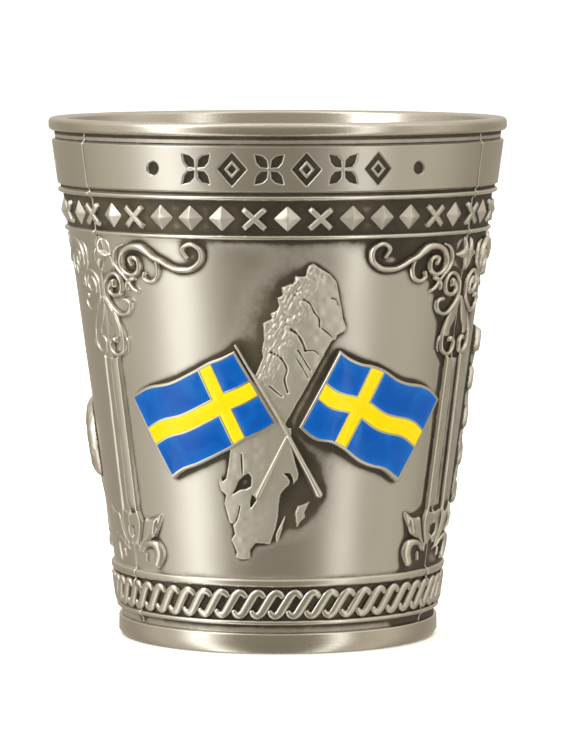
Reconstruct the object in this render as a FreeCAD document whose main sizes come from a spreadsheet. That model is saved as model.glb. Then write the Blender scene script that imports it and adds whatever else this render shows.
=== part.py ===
import FreeCAD, Part
import Sketcher
import math
import os

from FreeCAD import Placement, Rotation, Vector

# A pewter shot glass built round a thin turned cup. Three cast relief panels, each a
# third of the way round, stand between the cup's rim bead and its foot ring. Three
# solder seams join the panels, and ten enamel inlays fill the two flags in front.
# Millimetres, +Z up, the origin at the centre of the underside, the flags towards -Y.

document = FreeCAD.newDocument("shot_glass")

# ---------------------------------------------------------------- driving dimensions

DRIVING = [
    ("total_height", 50.0, "from the table to the top of the lip"),
    ("rim_radius", 22.05, "outside of the rim bead"),
    ("rim_bottom", 48.76, "underside of the rim bead"),
    ("rim_round", 0.45, "rounding of the rim bead"),
    ("lip_round", 0.3, "rounding of the drinking edge"),
    ("cone_base", 14.84, "radius of the plain field, carried down to the table"),
    ("cone_slope", 0.135, "growth of that radius for each millimetre of height"),
    ("panel_wall", 0.75, "thickness of a cast panel in its plain field"),
    ("cup_wall", 0.5, "thickness of the turned cup's wall"),
    ("floor_top", 5.0, "height of the floor inside the cup"),
    ("floor_round", 1.2, "rounding between the floor and the wall"),
    ("foot_height", 2.0, "top of the foot ring"),
    ("foot_radius", 15.42, "outside of the foot ring"),
    ("foot_base_radius", 15.2, "outside of the foot ring at the table"),
    ("foot_bevel", 0.5, "height of the foot ring's lower bevel"),
    ("hollow_radius", 12.8, "radius of the hollow under the foot"),
    ("hollow_depth", 0.8, "depth of the hollow under the foot"),
    ("panel_angle", 119.3, "angle that one panel covers"),
    ("seam_angle", 0.7, "angle that one solder seam covers"),
    ("bead_rise", 0.37, "height of a bead above the field cone"),
    ("bead_bevel", 0.1, "bevel on each edge of a bead"),
    ("low_bead_bottom", 2.74, "lowest bead"),
    ("low_bead_top", 3.27, "lowest bead"),
    ("rope_bead_bottom", 6.4, "bead above the rope band"),
    ("rope_bead_top", 7.25, "bead above the rope band"),
    ("stud_bead_bottom", 39.2, "bead under the stud band"),
    ("stud_bead_top", 39.67, "bead under the stud band"),
    ("high_bead_bottom", 42.8, "bead above the stud band"),
    ("high_bead_top", 43.35, "bead above the stud band"),
    ("high_bead_rise", 0.5, "height of that bead above the field cone"),
    ("plain_band_bottom", 43.62, "smooth band under the rim"),
    ("plain_band_top", 47.95, "smooth band under the rim"),
    ("plain_band_rise", 0.45, "height of the smooth band above the field cone"),
    ("seam_rise", 0.12, "height of the solder above the field cone"),
    ("bury", 0.25, "depth that relief is sunk into its panel"),
    ("map_rise", 0.35, "height of the map"),
    ("flag_rise", 0.65, "height of the flags"),
    ("pole_rise", 0.95, "height of the flag poles"),
    ("scroll_rise", 0.55, "height of the scrolls and leaves"),
    ("enamel_depth", 0.35, "depth of an enamel cell"),
    ("cell_wall", 0.24, "metal left between two enamel cells"),
    ("scroll_width", 0.6, "width of a scroll's stem"),
    ("pole_width", 0.62, "width of a flag pole"),
    ("dot_radius", 0.6, "engraved dots in the smooth band"),
    ("dot_place", 12.9, "distance of a dot from the panel's middle, round the band"),
    ("leaf_length", 3.0, "height of an engraved leaf in the smooth band"),
    ("leaf_pitch", 3.4, "distance between two engraved leaves"),
    ("engraving_depth", 0.3, "depth of the dots and leaves"),
    ("stud_height", 2.3, "height of a stud in the stud band"),
    ("stud_width", 2.5, "width of a stud in the stud band"),
    ("stud_middle", 41.2, "height of the stud band's middle"),
    ("stud_rise", 0.6, "height of a stud's point above the field cone"),
    ("rope_middle", 4.8, "height of the rope band's middle"),
    ("rope_rise", 0.5, "height of a rope link above the field cone"),
    ("animal_rise", 1.3, "height of the animal on the left panel"),
    ("shield_rise", 0.9, "height of the shield on the right panel"),
]

sheet = document.addObject("Spreadsheet::Sheet", "Dimensions")
for row, (alias, value, meaning) in enumerate(DRIVING, start=1):
    sheet.set("A%d" % row, alias)
    sheet.set("B%d" % row, str(value))
    sheet.set("C%d" % row, meaning)
    sheet.setAlias("B%d" % row, alias)
document.recompute()


def size(alias):
    """One driving dimension, read from the sheet."""
    return float(sheet.get(alias))


STUDS_PER_PANEL = 14
LINKS_PER_PANEL = 19
LEAVES_PER_PANEL = 6
PANEL_TURN = {"front": 0.0, "left": -120.0, "right": 120.0}
SEAM_TURN = {"left": -60.0, "right": 60.0, "rear": 180.0}

# ---------------------------------------------------------------- turned profiles

CONE = "Dimensions.cone_base + Dimensions.cone_slope * Dimensions.%s"


def on_cone(height, offset="0"):
    """The radius and height of a profile corner, offset outward from the field cone."""
    return (CONE % height + " + " + offset, "Dimensions." + height)


def plain(radius, height):
    return ("Dimensions." + radius, "Dimensions." + height)


def add_profile(body, name, corners):
    """A closed sketch on the body's XZ plane, with every corner bound to the sheet."""
    plane = [f for f in body.Origin.OriginFeatures if f.Role == "XZ_Plane"][0]
    sketch = body.newObject("Sketcher::SketchObject", name)
    sketch.AttachmentSupport = (plane, "")
    sketch.MapMode = "FlatFace"
    count = len(corners)
    start = [Vector(measure(r), measure(z), 0) for r, z in corners]
    for index in range(count):
        sketch.addGeometry(Part.LineSegment(start[index], start[(index + 1) % count]), False)
    for index in range(count):
        sketch.addConstraint(Sketcher.Constraint("Coincident", index, 2, (index + 1) % count, 1))
    for index, (radius, height) in enumerate(corners):
        bind(sketch, "DistanceX", index, start[index].x, radius)
        bind(sketch, "DistanceY", index, start[index].y, height)
    return sketch


def bind(sketch, kind, index, value, expression):
    """Hold the start of one line at the distance that the expression gives."""
    if value == 0:
        axis = -2 if kind == "DistanceX" else -1
        sketch.addConstraint(Sketcher.Constraint("PointOnObject", index, 1, axis))
        return
    number = sketch.addConstraint(Sketcher.Constraint(kind, -1, 1, index, 1, value))
    sketch.setExpression("Constraints[%d]" % number, expression)


def measure(expression):
    """The present value of an expression in the sheet's cells."""
    total = 0.0
    for term in expression.replace("- ", "+ -").split("+"):
        product = 1.0
        for factor in term.split("*"):
            factor = factor.strip()
            if factor.startswith("-Dimensions."):
                product *= -size(factor[len("-Dimensions."):])
            elif factor.startswith("Dimensions."):
                product *= size(factor[len("Dimensions."):])
            else:
                product *= float(factor)
        total += product
    return total


def revolve(body, sketch, angle_alias=None):
    """Turn a profile about the cup's axis, all round or through one angle."""
    turned = body.newObject("PartDesign::Revolution", sketch.Label + "_turned")
    turned.Profile = sketch
    turned.ReferenceAxis = (sketch, ["V_Axis"])
    turned.Angle = 360.0
    if angle_alias:
        turned.Midplane = True
        turned.setExpression("Angle", "Dimensions." + angle_alias)
    body.Tip = turned
    return turned


def new_body(name, turn=None):
    """A body, with a part turn given from the front, where a turned sector starts on +X."""
    body = document.addObject("PartDesign::Body", name)
    body.Label = name
    if turn is not None:
        body.Placement = Placement(Vector(), Rotation(Vector(0, 0, 1), turn - 90))
    return body


def circle_edges(feature, radius, height):
    """Names of the round edges that lie at one radius and one height."""
    names = []
    for number, edge in enumerate(feature.Shape.Edges, start=1):
        box = edge.BoundBox
        level = abs(box.ZMin - height) < 0.01 and abs(box.ZMax - height) < 0.01
        if level and abs(box.XMax - radius) < 0.01:
            names.append("Edge%d" % number)
    return names


def round_edges(body, name, base, places, alias):
    """Fillet the round edges at the given places with a radius from the sheet."""
    document.recompute()
    names = []
    for radius, height in places:
        names += circle_edges(base, radius, height)
    fillet = body.newObject("PartDesign::Fillet", name)
    fillet.Base = (base, names)
    fillet.Radius = size(alias)
    fillet.setExpression("Radius", "Dimensions." + alias)
    body.Tip = fillet
    document.recompute()
    return fillet


def cone_radius(height):
    """Radius of the plain field at a height."""
    return size("cone_base") + size("cone_slope") * height


# ---------------------------------------------------------------- the turned cup


def make_inner_cup():
    """Cup wall, floor, rim bead and foot ring, turned in one piece."""
    wall_out = "-1 * Dimensions.panel_wall"
    wall_in = wall_out + " + -1 * Dimensions.cup_wall"
    body = new_body("inner_cup")
    sketch = add_profile(body, "inner_cup_profile", [
        ("0", "Dimensions.hollow_depth"),
        ("Dimensions.hollow_radius + -1 * Dimensions.bead_rise", "Dimensions.hollow_depth"),
        ("Dimensions.hollow_radius", "0"),
        ("Dimensions.foot_base_radius", "0"),
        plain("foot_radius", "foot_bevel"),
        plain("foot_radius", "foot_height"),
        on_cone("foot_height", wall_out),
        on_cone("rim_bottom", wall_out),
        plain("rim_radius", "rim_bottom"),
        plain("rim_radius", "total_height"),
        on_cone("total_height", wall_in),
        on_cone("floor_top", wall_in),
        ("0", "Dimensions.floor_top"),
    ])
    turned = revolve(body, sketch)
    inside = -size("panel_wall") - size("cup_wall")
    top = size("total_height")
    floor = size("floor_top")
    bead = round_edges(body, "rim_bead", turned, [
        (size("rim_radius"), size("rim_bottom")),
        (size("rim_radius"), top),
    ], "rim_round")
    lip = round_edges(body, "drinking_edge", bead, [(cone_radius(top) + inside, top)], "lip_round")
    round_edges(body, "floor_corner", lip, [(cone_radius(floor) + inside, floor)], "floor_round")
    return body


# ---------------------------------------------------------------- panel castings


def make_panel_blank(side):
    """One panel without its relief: the field, the beads and the bands between them."""
    back = "-1 * Dimensions.panel_wall"
    low = "Dimensions.bead_rise"
    high = "Dimensions.high_bead_rise"
    band = "Dimensions.plain_band_rise"
    body = new_body(side + "_blank", 0)
    sketch = add_profile(body, side + "_blank_profile", [
        on_cone("foot_height", back),
        on_cone("foot_height"),
        on_cone("low_bead_bottom"),
        on_cone("low_bead_bottom", low),
        on_cone("low_bead_top", low),
        on_cone("low_bead_top"),
        on_cone("rope_bead_bottom"),
        on_cone("rope_bead_bottom", low),
        on_cone("rope_bead_top", low),
        on_cone("rope_bead_top"),
        on_cone("stud_bead_bottom"),
        on_cone("stud_bead_bottom", low),
        on_cone("stud_bead_top", low),
        on_cone("stud_bead_top"),
        on_cone("high_bead_bottom"),
        on_cone("high_bead_bottom", high),
        on_cone("high_bead_top", high),
        on_cone("high_bead_top", "0.2"),
        on_cone("plain_band_bottom", "0.2"),
        on_cone("plain_band_bottom", band),
        on_cone("plain_band_top", band),
        on_cone("plain_band_top"),
        on_cone("rim_bottom"),
        on_cone("rim_bottom", back),
    ])
    revolve(body, sketch, "panel_angle")
    return body


def make_seam(side):
    """The solder that fills the gap between two panels."""
    back = "-1 * Dimensions.panel_wall"
    rise = "Dimensions.seam_rise"
    band = "Dimensions.plain_band_rise"
    body = new_body("solder_seam_" + side, SEAM_TURN[side])
    sketch = add_profile(body, "solder_seam_%s_profile" % side, [
        on_cone("foot_height", back),
        on_cone("foot_height", rise),
        on_cone("high_bead_top", rise),
        on_cone("plain_band_bottom", band),
        on_cone("plain_band_top", band),
        on_cone("rim_bottom", rise),
        on_cone("rim_bottom", back),
    ])
    revolve(body, sketch, "seam_angle")
    return body


# ---------------------------------------------------------------- relief, wrapped on the cone
#
# An outline is a list of (across, height) points: across is measured along the curved
# face from the panel's middle, to the right as seen from outside.


def curve(points, closed=False, per_span=4):
    """Points along a smooth curve through the given ones."""
    spline = Part.BSplineCurve()
    spline.interpolate(Points=[Vector(p[0], p[1], 0) for p in points], PeriodicFlag=closed)
    count = per_span * (len(points) if closed else len(points) - 1)
    found = spline.discretize(Number=count + 1)
    if closed:
        found = found[:-1]
    return [(p.x, p.y) for p in found]


def stem(points, width):
    """Outline of a curved stem of one width with pointed ends."""
    line = curve(points, per_span=3)
    left = []
    right = []
    for index in range(1, len(line) - 1):
        before = line[index - 1]
        after = line[index + 1]
        length = math.dist(before, after)
        normal_u = -(after[1] - before[1]) / length * width / 2
        normal_z = (after[0] - before[0]) / length * width / 2
        left.append((line[index][0] + normal_u, line[index][1] + normal_z))
        right.append((line[index][0] - normal_u, line[index][1] - normal_z))
    return [line[0]] + left + [line[-1]] + right[::-1]


def rod(start, end, width, end_width=None):
    """Outline of a straight rod, which may taper."""
    end_width = end_width or width
    length = math.dist(start, end)
    normal = (-(end[1] - start[1]) / length, (end[0] - start[0]) / length)
    outline = []
    for point, half in ((start, width / 2), (end, end_width / 2)):
        outline.append((point[0] + normal[0] * half, point[1] + normal[1] * half))
        outline.append((point[0] - normal[0] * half, point[1] - normal[1] * half))
    return [outline[0], outline[2], outline[3], outline[1]]


def mirrored(outline):
    return [(-across, height) for across, height in outline]


def prism(outline):
    """A radial prism that meets the field cone along the outline."""
    middle_height = sum(p[1] for p in outline) / len(outline)
    middle_across = (min(p[0] for p in outline) + max(p[0] for p in outline)) / 2
    centre = middle_across / cone_radius(middle_height)
    near = cone_radius(0) * 0.6
    far = size("rim_radius") + 4
    points = []
    for across, height in outline:
        radius = cone_radius(height)
        points.append(Vector(radius * math.sin(across / radius - centre), -near, height))
    face = Part.Face(Part.makePolygon(points + [points[0]]))
    solid = face.extrude(Vector(0, near - far, 0))
    solid.rotate(Vector(), Vector(0, 0, 1), math.degrees(centre))
    return solid


def sector(low, high, bottom, top):
    """A sector of one panel's width between two offsets from the field cone."""
    corners = []
    for height, offset in ((bottom, low), (bottom, high), (top, high), (top, low)):
        corners.append(Vector(cone_radius(height) + offset, 0, height))
    face = Part.Face(Part.makePolygon(corners + [corners[0]]))
    face.rotate(Vector(), Vector(0, 0, 1), -90 - size("panel_angle") / 2)
    return face.revolve(Vector(), Vector(0, 0, 1), size("panel_angle"))


def raised(outlines, rise):
    """Relief of one height on the field, sunk a little into the panel."""
    layer = sector(-size("bury"), rise, size("rope_bead_top"), size("stud_bead_bottom"))
    solids = [layer.common(prism(outline)) for outline in outlines]
    return solids


# ------------------------------------------------ the bands, the same on every panel


def stud(index):
    """A four-sided point, or a saltire in every fourth place, in the stud band."""
    turn = index * 120 / STUDS_PER_PANEL
    middle = size("stud_middle")
    deep = cone_radius(middle) - size("bury")
    top = cone_radius(middle) + size("stud_rise")
    half_width = size("stud_width") / 2
    half_height = size("stud_height") / 2
    if abs(index) % 4 == 1 or abs(index) == STUDS_PER_PANEL // 2:
        bar = size("scroll_width") * 0.75
        reach = math.hypot(half_width, half_height)
        lean = math.degrees(math.atan2(half_height, half_width))
        arms = []
        for side in (-1, 1):
            arm = Part.makeBox(2 * reach, top - deep, bar, Vector(-reach, -top, middle - bar / 2))
            arm.rotate(Vector(0, 0, middle), Vector(0, 1, 0), side * lean)
            arms.append(arm)
        shape = arms[0].fuse(arms[1])
    else:
        grow = 1 + size("bury") / size("stud_rise")
        apex = Vector(0, -top, middle)
        corners = [
            Vector(-half_width * grow, -deep, middle),
            Vector(0, -deep, middle - half_height * grow),
            Vector(half_width * grow, -deep, middle),
            Vector(0, -deep, middle + half_height * grow),
        ]
        faces = [Part.Face(Part.makePolygon(corners + [corners[0]]))]
        for number in range(4):
            nearby = corners[(number + 1) % 4]
            faces.append(Part.Face(Part.makePolygon([corners[number], nearby, apex, corners[number]])))
        shape = Part.Solid(Part.Shell(faces))
    shape.rotate(Vector(), Vector(0, 0, 1), turn)
    return shape


def rope_link(index):
    """One slanted link of the rope band."""
    turn = index * 120 / LINKS_PER_PANEL
    middle = size("rope_middle")
    radius = cone_radius(middle)
    spread = radius * math.radians(120 / LINKS_PER_PANEL)
    half = (size("rope_bead_bottom") - size("low_bead_top")) / 2 - 0.1
    path = [(-spread * 0.62, -half * 0.75), (-spread * 0.25, -half * 0.8), (0, 0)]
    path += [(-across, -height) for across, height in path[1::-1]]
    outline = stem(path, size("scroll_width"))
    corners = [Vector(across, -radius - size("rope_rise"), middle + height) for across, height in outline]
    face = Part.Face(Part.makePolygon(corners + [corners[0]]))
    shape = face.extrude(Vector(0, size("rope_rise") + size("bury"), 0))
    shape.rotate(Vector(), Vector(0, 0, 1), turn)
    return shape


def band_engraving():
    """Cutters for two round dots and a row of leaves in the smooth band."""
    middle = (size("plain_band_bottom") + size("plain_band_top")) / 2
    radius = cone_radius(middle) + size("plain_band_rise")
    start = radius - size("engraving_depth")
    length = size("engraving_depth") + size("bury")
    cutters = []
    for side in (-1, 1):
        dot = Part.makeCylinder(size("dot_radius"), length, Vector(0, -start, middle), Vector(0, -1, 0))
        dot.rotate(Vector(), Vector(0, 0, 1), math.degrees(side * size("dot_place") / radius))
        cutters.append(dot)
    half = size("leaf_length") / 2
    for index in range(LEAVES_PER_PANEL):
        outline = [(0, -half), (half * 0.6, 0), (0, half), (-half * 0.6, 0)]
        corners = [Vector(across, -start, middle + height) for across, height in outline]
        leaf = Part.Face(Part.makePolygon(corners + [corners[0]])).extrude(Vector(0, -length, 0))
        place = (index - (LEAVES_PER_PANEL - 1) / 2) * size("leaf_pitch")
        leaf.rotate(Vector(), Vector(0, 0, 1), math.degrees(place / radius))
        cutters.append(leaf)
    return Part.Compound(cutters)


def band_relief():
    """Studs and rope links, clipped to the panel's own third of the cup."""
    half_studs = STUDS_PER_PANEL // 2
    half_links = LINKS_PER_PANEL // 2
    shapes = [stud(index) for index in range(-half_studs, half_studs + 1)]
    shapes += [rope_link(index) for index in range(-half_links, half_links + 1)]
    whole = sector(-size("bury") * 2, size("rim_radius"), size("foot_height"), size("rim_bottom"))
    return [whole.common(shape) for shape in shapes]


# ------------------------------------------------ the border, the same on every panel

SCROLLS = [
    [(-9.7, 37.5), (-10.2, 38.4), (-9.3, 38.8), (-8.3, 38.3), (-8.3, 37.2), (-9.3, 36.4),
     (-11.8, 36.9), (-14.4, 38.4), (-16.0, 38.6), (-17.5, 37.8), (-17.4, 36.2), (-16.2, 35.6),
     (-15.2, 36.2), (-15.4, 37.3), (-16.3, 37.2)],
    [(-13.6, 37.6), (-12.8, 36.4), (-13.6, 35.2), (-14.6, 35.5), (-14.3, 36.1)],
    [(-17.9, 38.2), (-18.6, 37.3), (-18.3, 36.2), (-17.2, 35.2), (-15.9, 34.6)],
    [(-19.4, 34.9), (-18.6, 35.8), (-17.5, 34.9), (-18.2, 33.6), (-20.0, 34.3)],
    [(-20.2, 33.9), (-19.6, 32.5), (-18.3, 31.7), (-17.1, 31.7), (-16.6, 32.6), (-17.2, 33.3)],
    [(-19.3, 32.1), (-18.2, 30.8), (-17.6, 29.7), (-17.6, 28.7), (-18.5, 28.0), (-19.6, 28.4)],
]
PILASTER_FOOT = 13.1
PILASTER_HEAD = 27.6
PILASTER_HEAD_GAP = 1.4
PILASTER_FOOT_GAP = 1.55


def seam_place(height):
    """Distance from the panel's middle to its seam, along the curved face."""
    return cone_radius(height) * math.pi / 3


def border_relief():
    """Scrolls at the top corners, a pilaster and a lily at each side seam."""
    width = size("scroll_width")
    outlines = [stem(path, width) for path in SCROLLS]
    foot = seam_place(PILASTER_FOOT)
    head = seam_place(PILASTER_HEAD)
    foot_point = (PILASTER_FOOT_GAP - foot, PILASTER_FOOT)
    head_point = (PILASTER_HEAD_GAP - head, PILASTER_HEAD)
    outlines.append(rod(foot_point, head_point, width))
    outlines.append([
        (-foot - 1, PILASTER_FOOT + 0.4),
        (0.7 - foot, PILASTER_FOOT + 0.4),
        (0.7 - head, PILASTER_HEAD - 0.4),
        (-head - 1, PILASTER_HEAD - 0.4),
    ])
    lily = seam_place(11.0)
    middle_petal = [(-1.2, 11.0), (0, 12.9), (1.2, 11.2), (0.4, 9.0), (-0.4, 9.0)]
    outlines.append([(across - lily, height) for across, height in middle_petal])
    side_petal = [(-12.9, 12.9), (-13.6, 11.3), (-14.8, 10.2), (-15.4, 9.0), (-14.4, 8.2)]
    outlines.append(stem(side_petal, width * 1.6))
    crest = seam_place(37.2)
    outlines.append([(-crest - 1, 39.0), (-20.0, 38.4), (-19.6, 37.2), (-20.4, 35.8), (-crest - 1, 35.6)])
    outlines += [mirrored(outline) for outline in outlines]
    return raised(outlines, size("scroll_rise"))


# ------------------------------------------------ the front panel: map, flags and poles

LEFT_FLAG_TOP = [(-4.8, 28.9), (-7.3, 27.8), (-9.0, 26.8), (-11.2, 25.7), (-13.6, 25.2), (-15.7, 24.2)]
LEFT_FLAG_BOTTOM = [(-0.8, 22.1), (-3.8, 20.4), (-5.4, 19.4), (-8.0, 18.0), (-10.8, 16.6)]
RIGHT_FLAG_TOP = [(4.9, 28.9), (7.0, 27.7), (9.5, 26.8), (12.1, 25.6), (14.4, 24.9), (16.3, 23.7)]
RIGHT_FLAG_BOTTOM = [(1.1, 21.7), (3.3, 20.3), (5.3, 19.4), (8.0, 17.7), (9.6, 17.2), (11.0, 16.1)]
MAP_NORTH = [
    (2.4, 37.0), (3.0, 36.6), (4.0, 36.0), (4.7, 35.0), (5.2, 32.4), (5.6, 31.0),
    (4.7, 30.0), (3.0, 26.0), (0.0, 21.0), (-3.0, 24.5), (-2.6, 27.0), (-2.2, 29.0),
    (-2.2, 31.5), (-1.4, 32.2), (-0.7, 33.1), (-0.4, 34.6), (0.6, 35.3), (1.6, 35.9),
]
MAP_SOUTH = [
    (-5.3, 19.0), (-5.6, 16.8), (-6.2, 16.9), (-5.6, 15.2), (-5.6, 13.6), (-4.9, 12.2),
    (-4.7, 9.2), (-3.3, 9.2), (-3.0, 10.6), (-1.5, 10.6), (-0.9, 12.1), (-0.5, 15.3),
    (0.3, 16.4), (1.1, 16.9), (0.5, 18.4), (0.0, 20.8),
]
LONG_ISLAND = [(-0.1, 13.2), (-0.4, 12.5), (-0.8, 10.8), (-0.9, 11.6), (-0.5, 12.8)]
ROUND_ISLAND = [(2.2, 14.6), (1.1, 14.2), (0.9, 13.0), (1.1, 12.3), (1.7, 13.2)]
LEFT_POLE = [(-4.7, 29.3), (0.05, 21.2), (3.0, 15.3)]
RIGHT_POLE = [(4.8, 29.1), (0.05, 20.8), (-2.6, 15.1)]

# The flag is sixteen units long and ten high. Its cross stands five units from the
# pole, and both of its arms are two units wide.
CROSS_START = 5 / 16
CROSS_END = 7 / 16
CROSS_LOW = 4 / 10
CROSS_HIGH = 6 / 10


class Flag:
    """A waving flag: along runs from the pole to the fly, up from the lower edge."""

    def __init__(self, top, bottom):
        self.top = curve(top, per_span=12)
        self.bottom = curve(bottom, per_span=12)
        self.long = math.dist(top[0], top[-1])
        self.high = math.dist(top[0], bottom[0])

    def at(self, along, up):
        edges = []
        for edge in (self.bottom, self.top):
            place = along * (len(edge) - 1)
            first = min(int(place), len(edge) - 2)
            part = place - first
            start = edge[first]
            end = edge[first + 1]
            edges.append((start[0] + (end[0] - start[0]) * part, start[1] + (end[1] - start[1]) * part))
        low, high = edges
        return (low[0] + (high[0] - low[0]) * up, low[1] + (high[1] - low[1]) * up)

    def line(self, start, end, steps=6):
        """Points from one place on the flag towards another, without the last."""
        places = []
        for index in range(steps):
            part = index / steps
            along = start[0] + (end[0] - start[0]) * part
            up = start[1] + (end[1] - start[1]) * part
            places.append(self.at(along, up))
        return places

    def patch(self, corners):
        """The outline through corners given along and up the flag."""
        outline = []
        for index, corner in enumerate(corners):
            outline += self.line(corner, corners[(index + 1) % len(corners)])
        return outline

    def cells(self):
        """Outlines of the four blue fields and of the yellow cross, by name."""
        wall = size("cell_wall")
        side = wall / 2 / self.long
        rise = wall / 2 / self.high
        left, inner, outer, right = 2 * side, CROSS_START - side, CROSS_END + side, 1 - 2 * side
        low, under, over, high = 2 * rise, CROSS_LOW - rise, CROSS_HIGH + rise, 1 - 2 * rise
        cross_left, cross_right = CROSS_START + side, CROSS_END - side
        cross_low, cross_high = CROSS_LOW + rise, CROSS_HIGH - rise
        return {
            "blue_lower_inner": self.patch([(left, low), (inner, low), (inner, under), (left, under)]),
            "blue_lower_outer": self.patch([(outer, low), (right, low), (right, under), (outer, under)]),
            "blue_upper_inner": self.patch([(left, over), (inner, over), (inner, high), (left, high)]),
            "blue_upper_outer": self.patch([(outer, over), (right, over), (right, high), (outer, high)]),
            "yellow_cross": self.patch([
                (cross_left, low), (cross_right, low), (cross_right, cross_low), (right, cross_low),
                (right, cross_high), (cross_right, cross_high), (cross_right, high), (cross_left, high),
                (cross_left, cross_high), (left, cross_high), (left, cross_low), (cross_left, cross_low),
            ]),
        }


FLAGS = {"left": Flag(LEFT_FLAG_TOP, LEFT_FLAG_BOTTOM), "right": Flag(RIGHT_FLAG_TOP, RIGHT_FLAG_BOTTOM)}
WHOLE_FLAG = [(0, 0), (1, 0), (1, 1), (0, 1)]


def pole(path):
    """A flag pole that thickens below the crossing."""
    thin = size("pole_width") * 0.7
    return [rod(path[0], path[1], thin), rod(path[1], path[2], size("pole_width"))]


def front_relief():
    shapes = raised([MAP_NORTH, MAP_SOUTH, LONG_ISLAND, ROUND_ISLAND], size("map_rise"))
    shapes += raised([flag.patch(WHOLE_FLAG) for flag in FLAGS.values()], size("flag_rise"))
    shapes += raised(pole(LEFT_POLE) + pole(RIGHT_POLE), size("pole_rise"))
    return shapes


# ------------------------------------------------ the left panel: a standing elk

ELK_BODY = [
    (-6.4, 23.2), (-3.5, 25.0), (-0.5, 23.9), (3.5, 23.3), (7.5, 23.4), (9.6, 21.6),
    (9.5, 18.6), (7.8, 17.2), (4.0, 16.6), (0.0, 16.2), (-3.4, 16.0), (-5.6, 18.2),
]
ELK_NECK = [
    (-5.6, 24.4), (-9.0, 27.4), (-12.4, 25.2), (-14.0, 23.6), (-13.0, 22.6), (-9.6, 23.6),
    (-6.6, 20.4),
]
ELK_LEGS = [
    [(-4.6, 17.6), (-5.0, 13.5), (-4.7, 9.6)],
    [(-2.4, 17.2), (-2.2, 13.6), (-2.6, 10.2)],
    [(6.2, 18.4), (5.4, 14.0), (5.8, 10.2)],
    [(8.4, 18.8), (8.6, 14.2), (8.0, 9.6)],
]
ELK_ANTLER = [
    (-8.4, 27.0), (-6.6, 29.4), (-3.6, 30.6), (-2.8, 33.2), (-5.0, 31.8), (-6.2, 34.0),
    (-7.6, 31.4), (-9.6, 33.2), (-9.6, 30.0),
]


def left_relief():
    legs = [rod(leg[0], leg[1], 2.0, 1.1) for leg in ELK_LEGS]
    legs += [rod(leg[1], leg[2], 1.1, 0.9) for leg in ELK_LEGS]
    ground = rod((-8.0, 9.0), (11.0, 9.0), 1.4)
    shapes = raised([curve(ELK_BODY, closed=True, per_span=2)], size("animal_rise"))
    shapes += raised([ELK_NECK, ELK_ANTLER], size("shield_rise"))
    shapes += raised(legs + [ground], size("flag_rise"))
    return shapes


# ------------------------------------------------ the right panel: a crowned shield

SHIELD = [
    (-5.4, 27.0), (0.0, 26.6), (5.4, 27.0), (5.5, 20.0), (3.6, 15.6), (0.0, 13.2),
    (-3.6, 15.6), (-5.5, 20.0),
]
CROWN = [(-3.8, 28.0), (3.8, 28.0), (5.4, 33.0), (2.6, 30.8), (0.0, 34.6), (-2.6, 30.8), (-5.4, 33.0)]
MANTLE = [
    [(-6.6, 20.0), (-9.4, 20.4), (-10.6, 23.6), (-9.2, 27.4), (-10.8, 30.4), (-8.6, 31.4), (-6.8, 28.6)],
    [(-6.4, 18.6), (-9.6, 18.8), (-11.2, 16.2), (-8.6, 13.6), (-5.0, 13.4)],
]


def right_relief():
    mantle = MANTLE + [mirrored(outline) for outline in MANTLE]
    shapes = raised([SHIELD, CROWN], size("shield_rise"))
    shapes += raised(mantle, size("animal_rise"))
    return shapes


# ---------------------------------------------------------------- assembly


def add_shape(name, shape):
    feature = document.addObject("Part::Feature", name)
    feature.Label = name
    feature.Shape = shape
    return feature


def fused(shapes):
    """All the relief of one panel as one shape."""
    whole = shapes[0].multiFuse(shapes[1:])
    return whole


def make_panel(side, motif, name):
    """A blank with its relief fused on and its band engraved, under the given name."""
    blank = make_panel_blank(side)
    relief = add_shape(side + "_relief", fused(band_relief() + border_relief() + motif))
    joined = document.addObject("Part::Fuse", side + "_cast")
    joined.Base = blank
    joined.Tool = relief
    engraved = document.addObject("Part::Cut", name)
    engraved.Base = joined
    engraved.Tool = add_shape(side + "_engraving", band_engraving())
    return engraved


def make_enamel():
    """One inlay for each cell of each flag, and the pockets that hold them."""
    base = size("flag_rise") - size("enamel_depth")
    layer = sector(base, size("flag_rise"), size("rope_bead_top"), size("stud_bead_bottom"))
    deep_layer = sector(base, size("rim_radius"), size("rope_bead_top"), size("stud_bead_bottom"))
    inlays = []
    pockets = []
    poles = fused(raised(pole(LEFT_POLE) + pole(RIGHT_POLE), size("rim_radius")))
    for side, flag in FLAGS.items():
        for name, outline in flag.cells().items():
            cell = prism(outline)
            inlays.append(add_shape("enamel_%s_%s" % (side, name), layer.common(cell).cut(poles)))
            pockets.append(deep_layer.common(cell).cut(poles))
    return inlays, add_shape("enamel_pockets", Part.Compound(pockets))


inner_cup = make_inner_cup()
seams = [make_seam(side) for side in SEAM_TURN]
enamel, pockets = make_enamel()
left_panel = make_panel("left", left_relief(), "left_panel")
right_panel = make_panel("right", right_relief(), "right_panel")
front_cast = make_panel("front", front_relief(), "front_engraved")
front_panel = document.addObject("Part::Cut", "front_panel")
front_panel.Base = front_cast
front_panel.Tool = pockets

nodes = {
    "inner_cup": inner_cup,
    "front_panel": front_panel,
    "left_panel": left_panel,
    "right_panel": right_panel,
}
for side, panel in (("left", left_panel), ("right", right_panel)):
    panel.Placement = Placement(Vector(), Rotation(Vector(0, 0, 1), PANEL_TURN[side]))
for piece in seams + enamel:
    nodes[piece.Label] = piece
for name, piece in nodes.items():
    piece.Label = name
document.recompute()

for item in document.Objects:
    if "Invalid" in item.State or "Error" in item.State:
        raise RuntimeError("%s failed: %s" % (item.Name, item.State))
for name, piece in nodes.items():
    shape = piece.Shape
    if shape.isNull() or not shape.isValid() or len(shape.Solids) != 1:
        raise RuntimeError("%s is not one valid solid (%d solids)" % (name, len(shape.Solids)))

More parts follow.
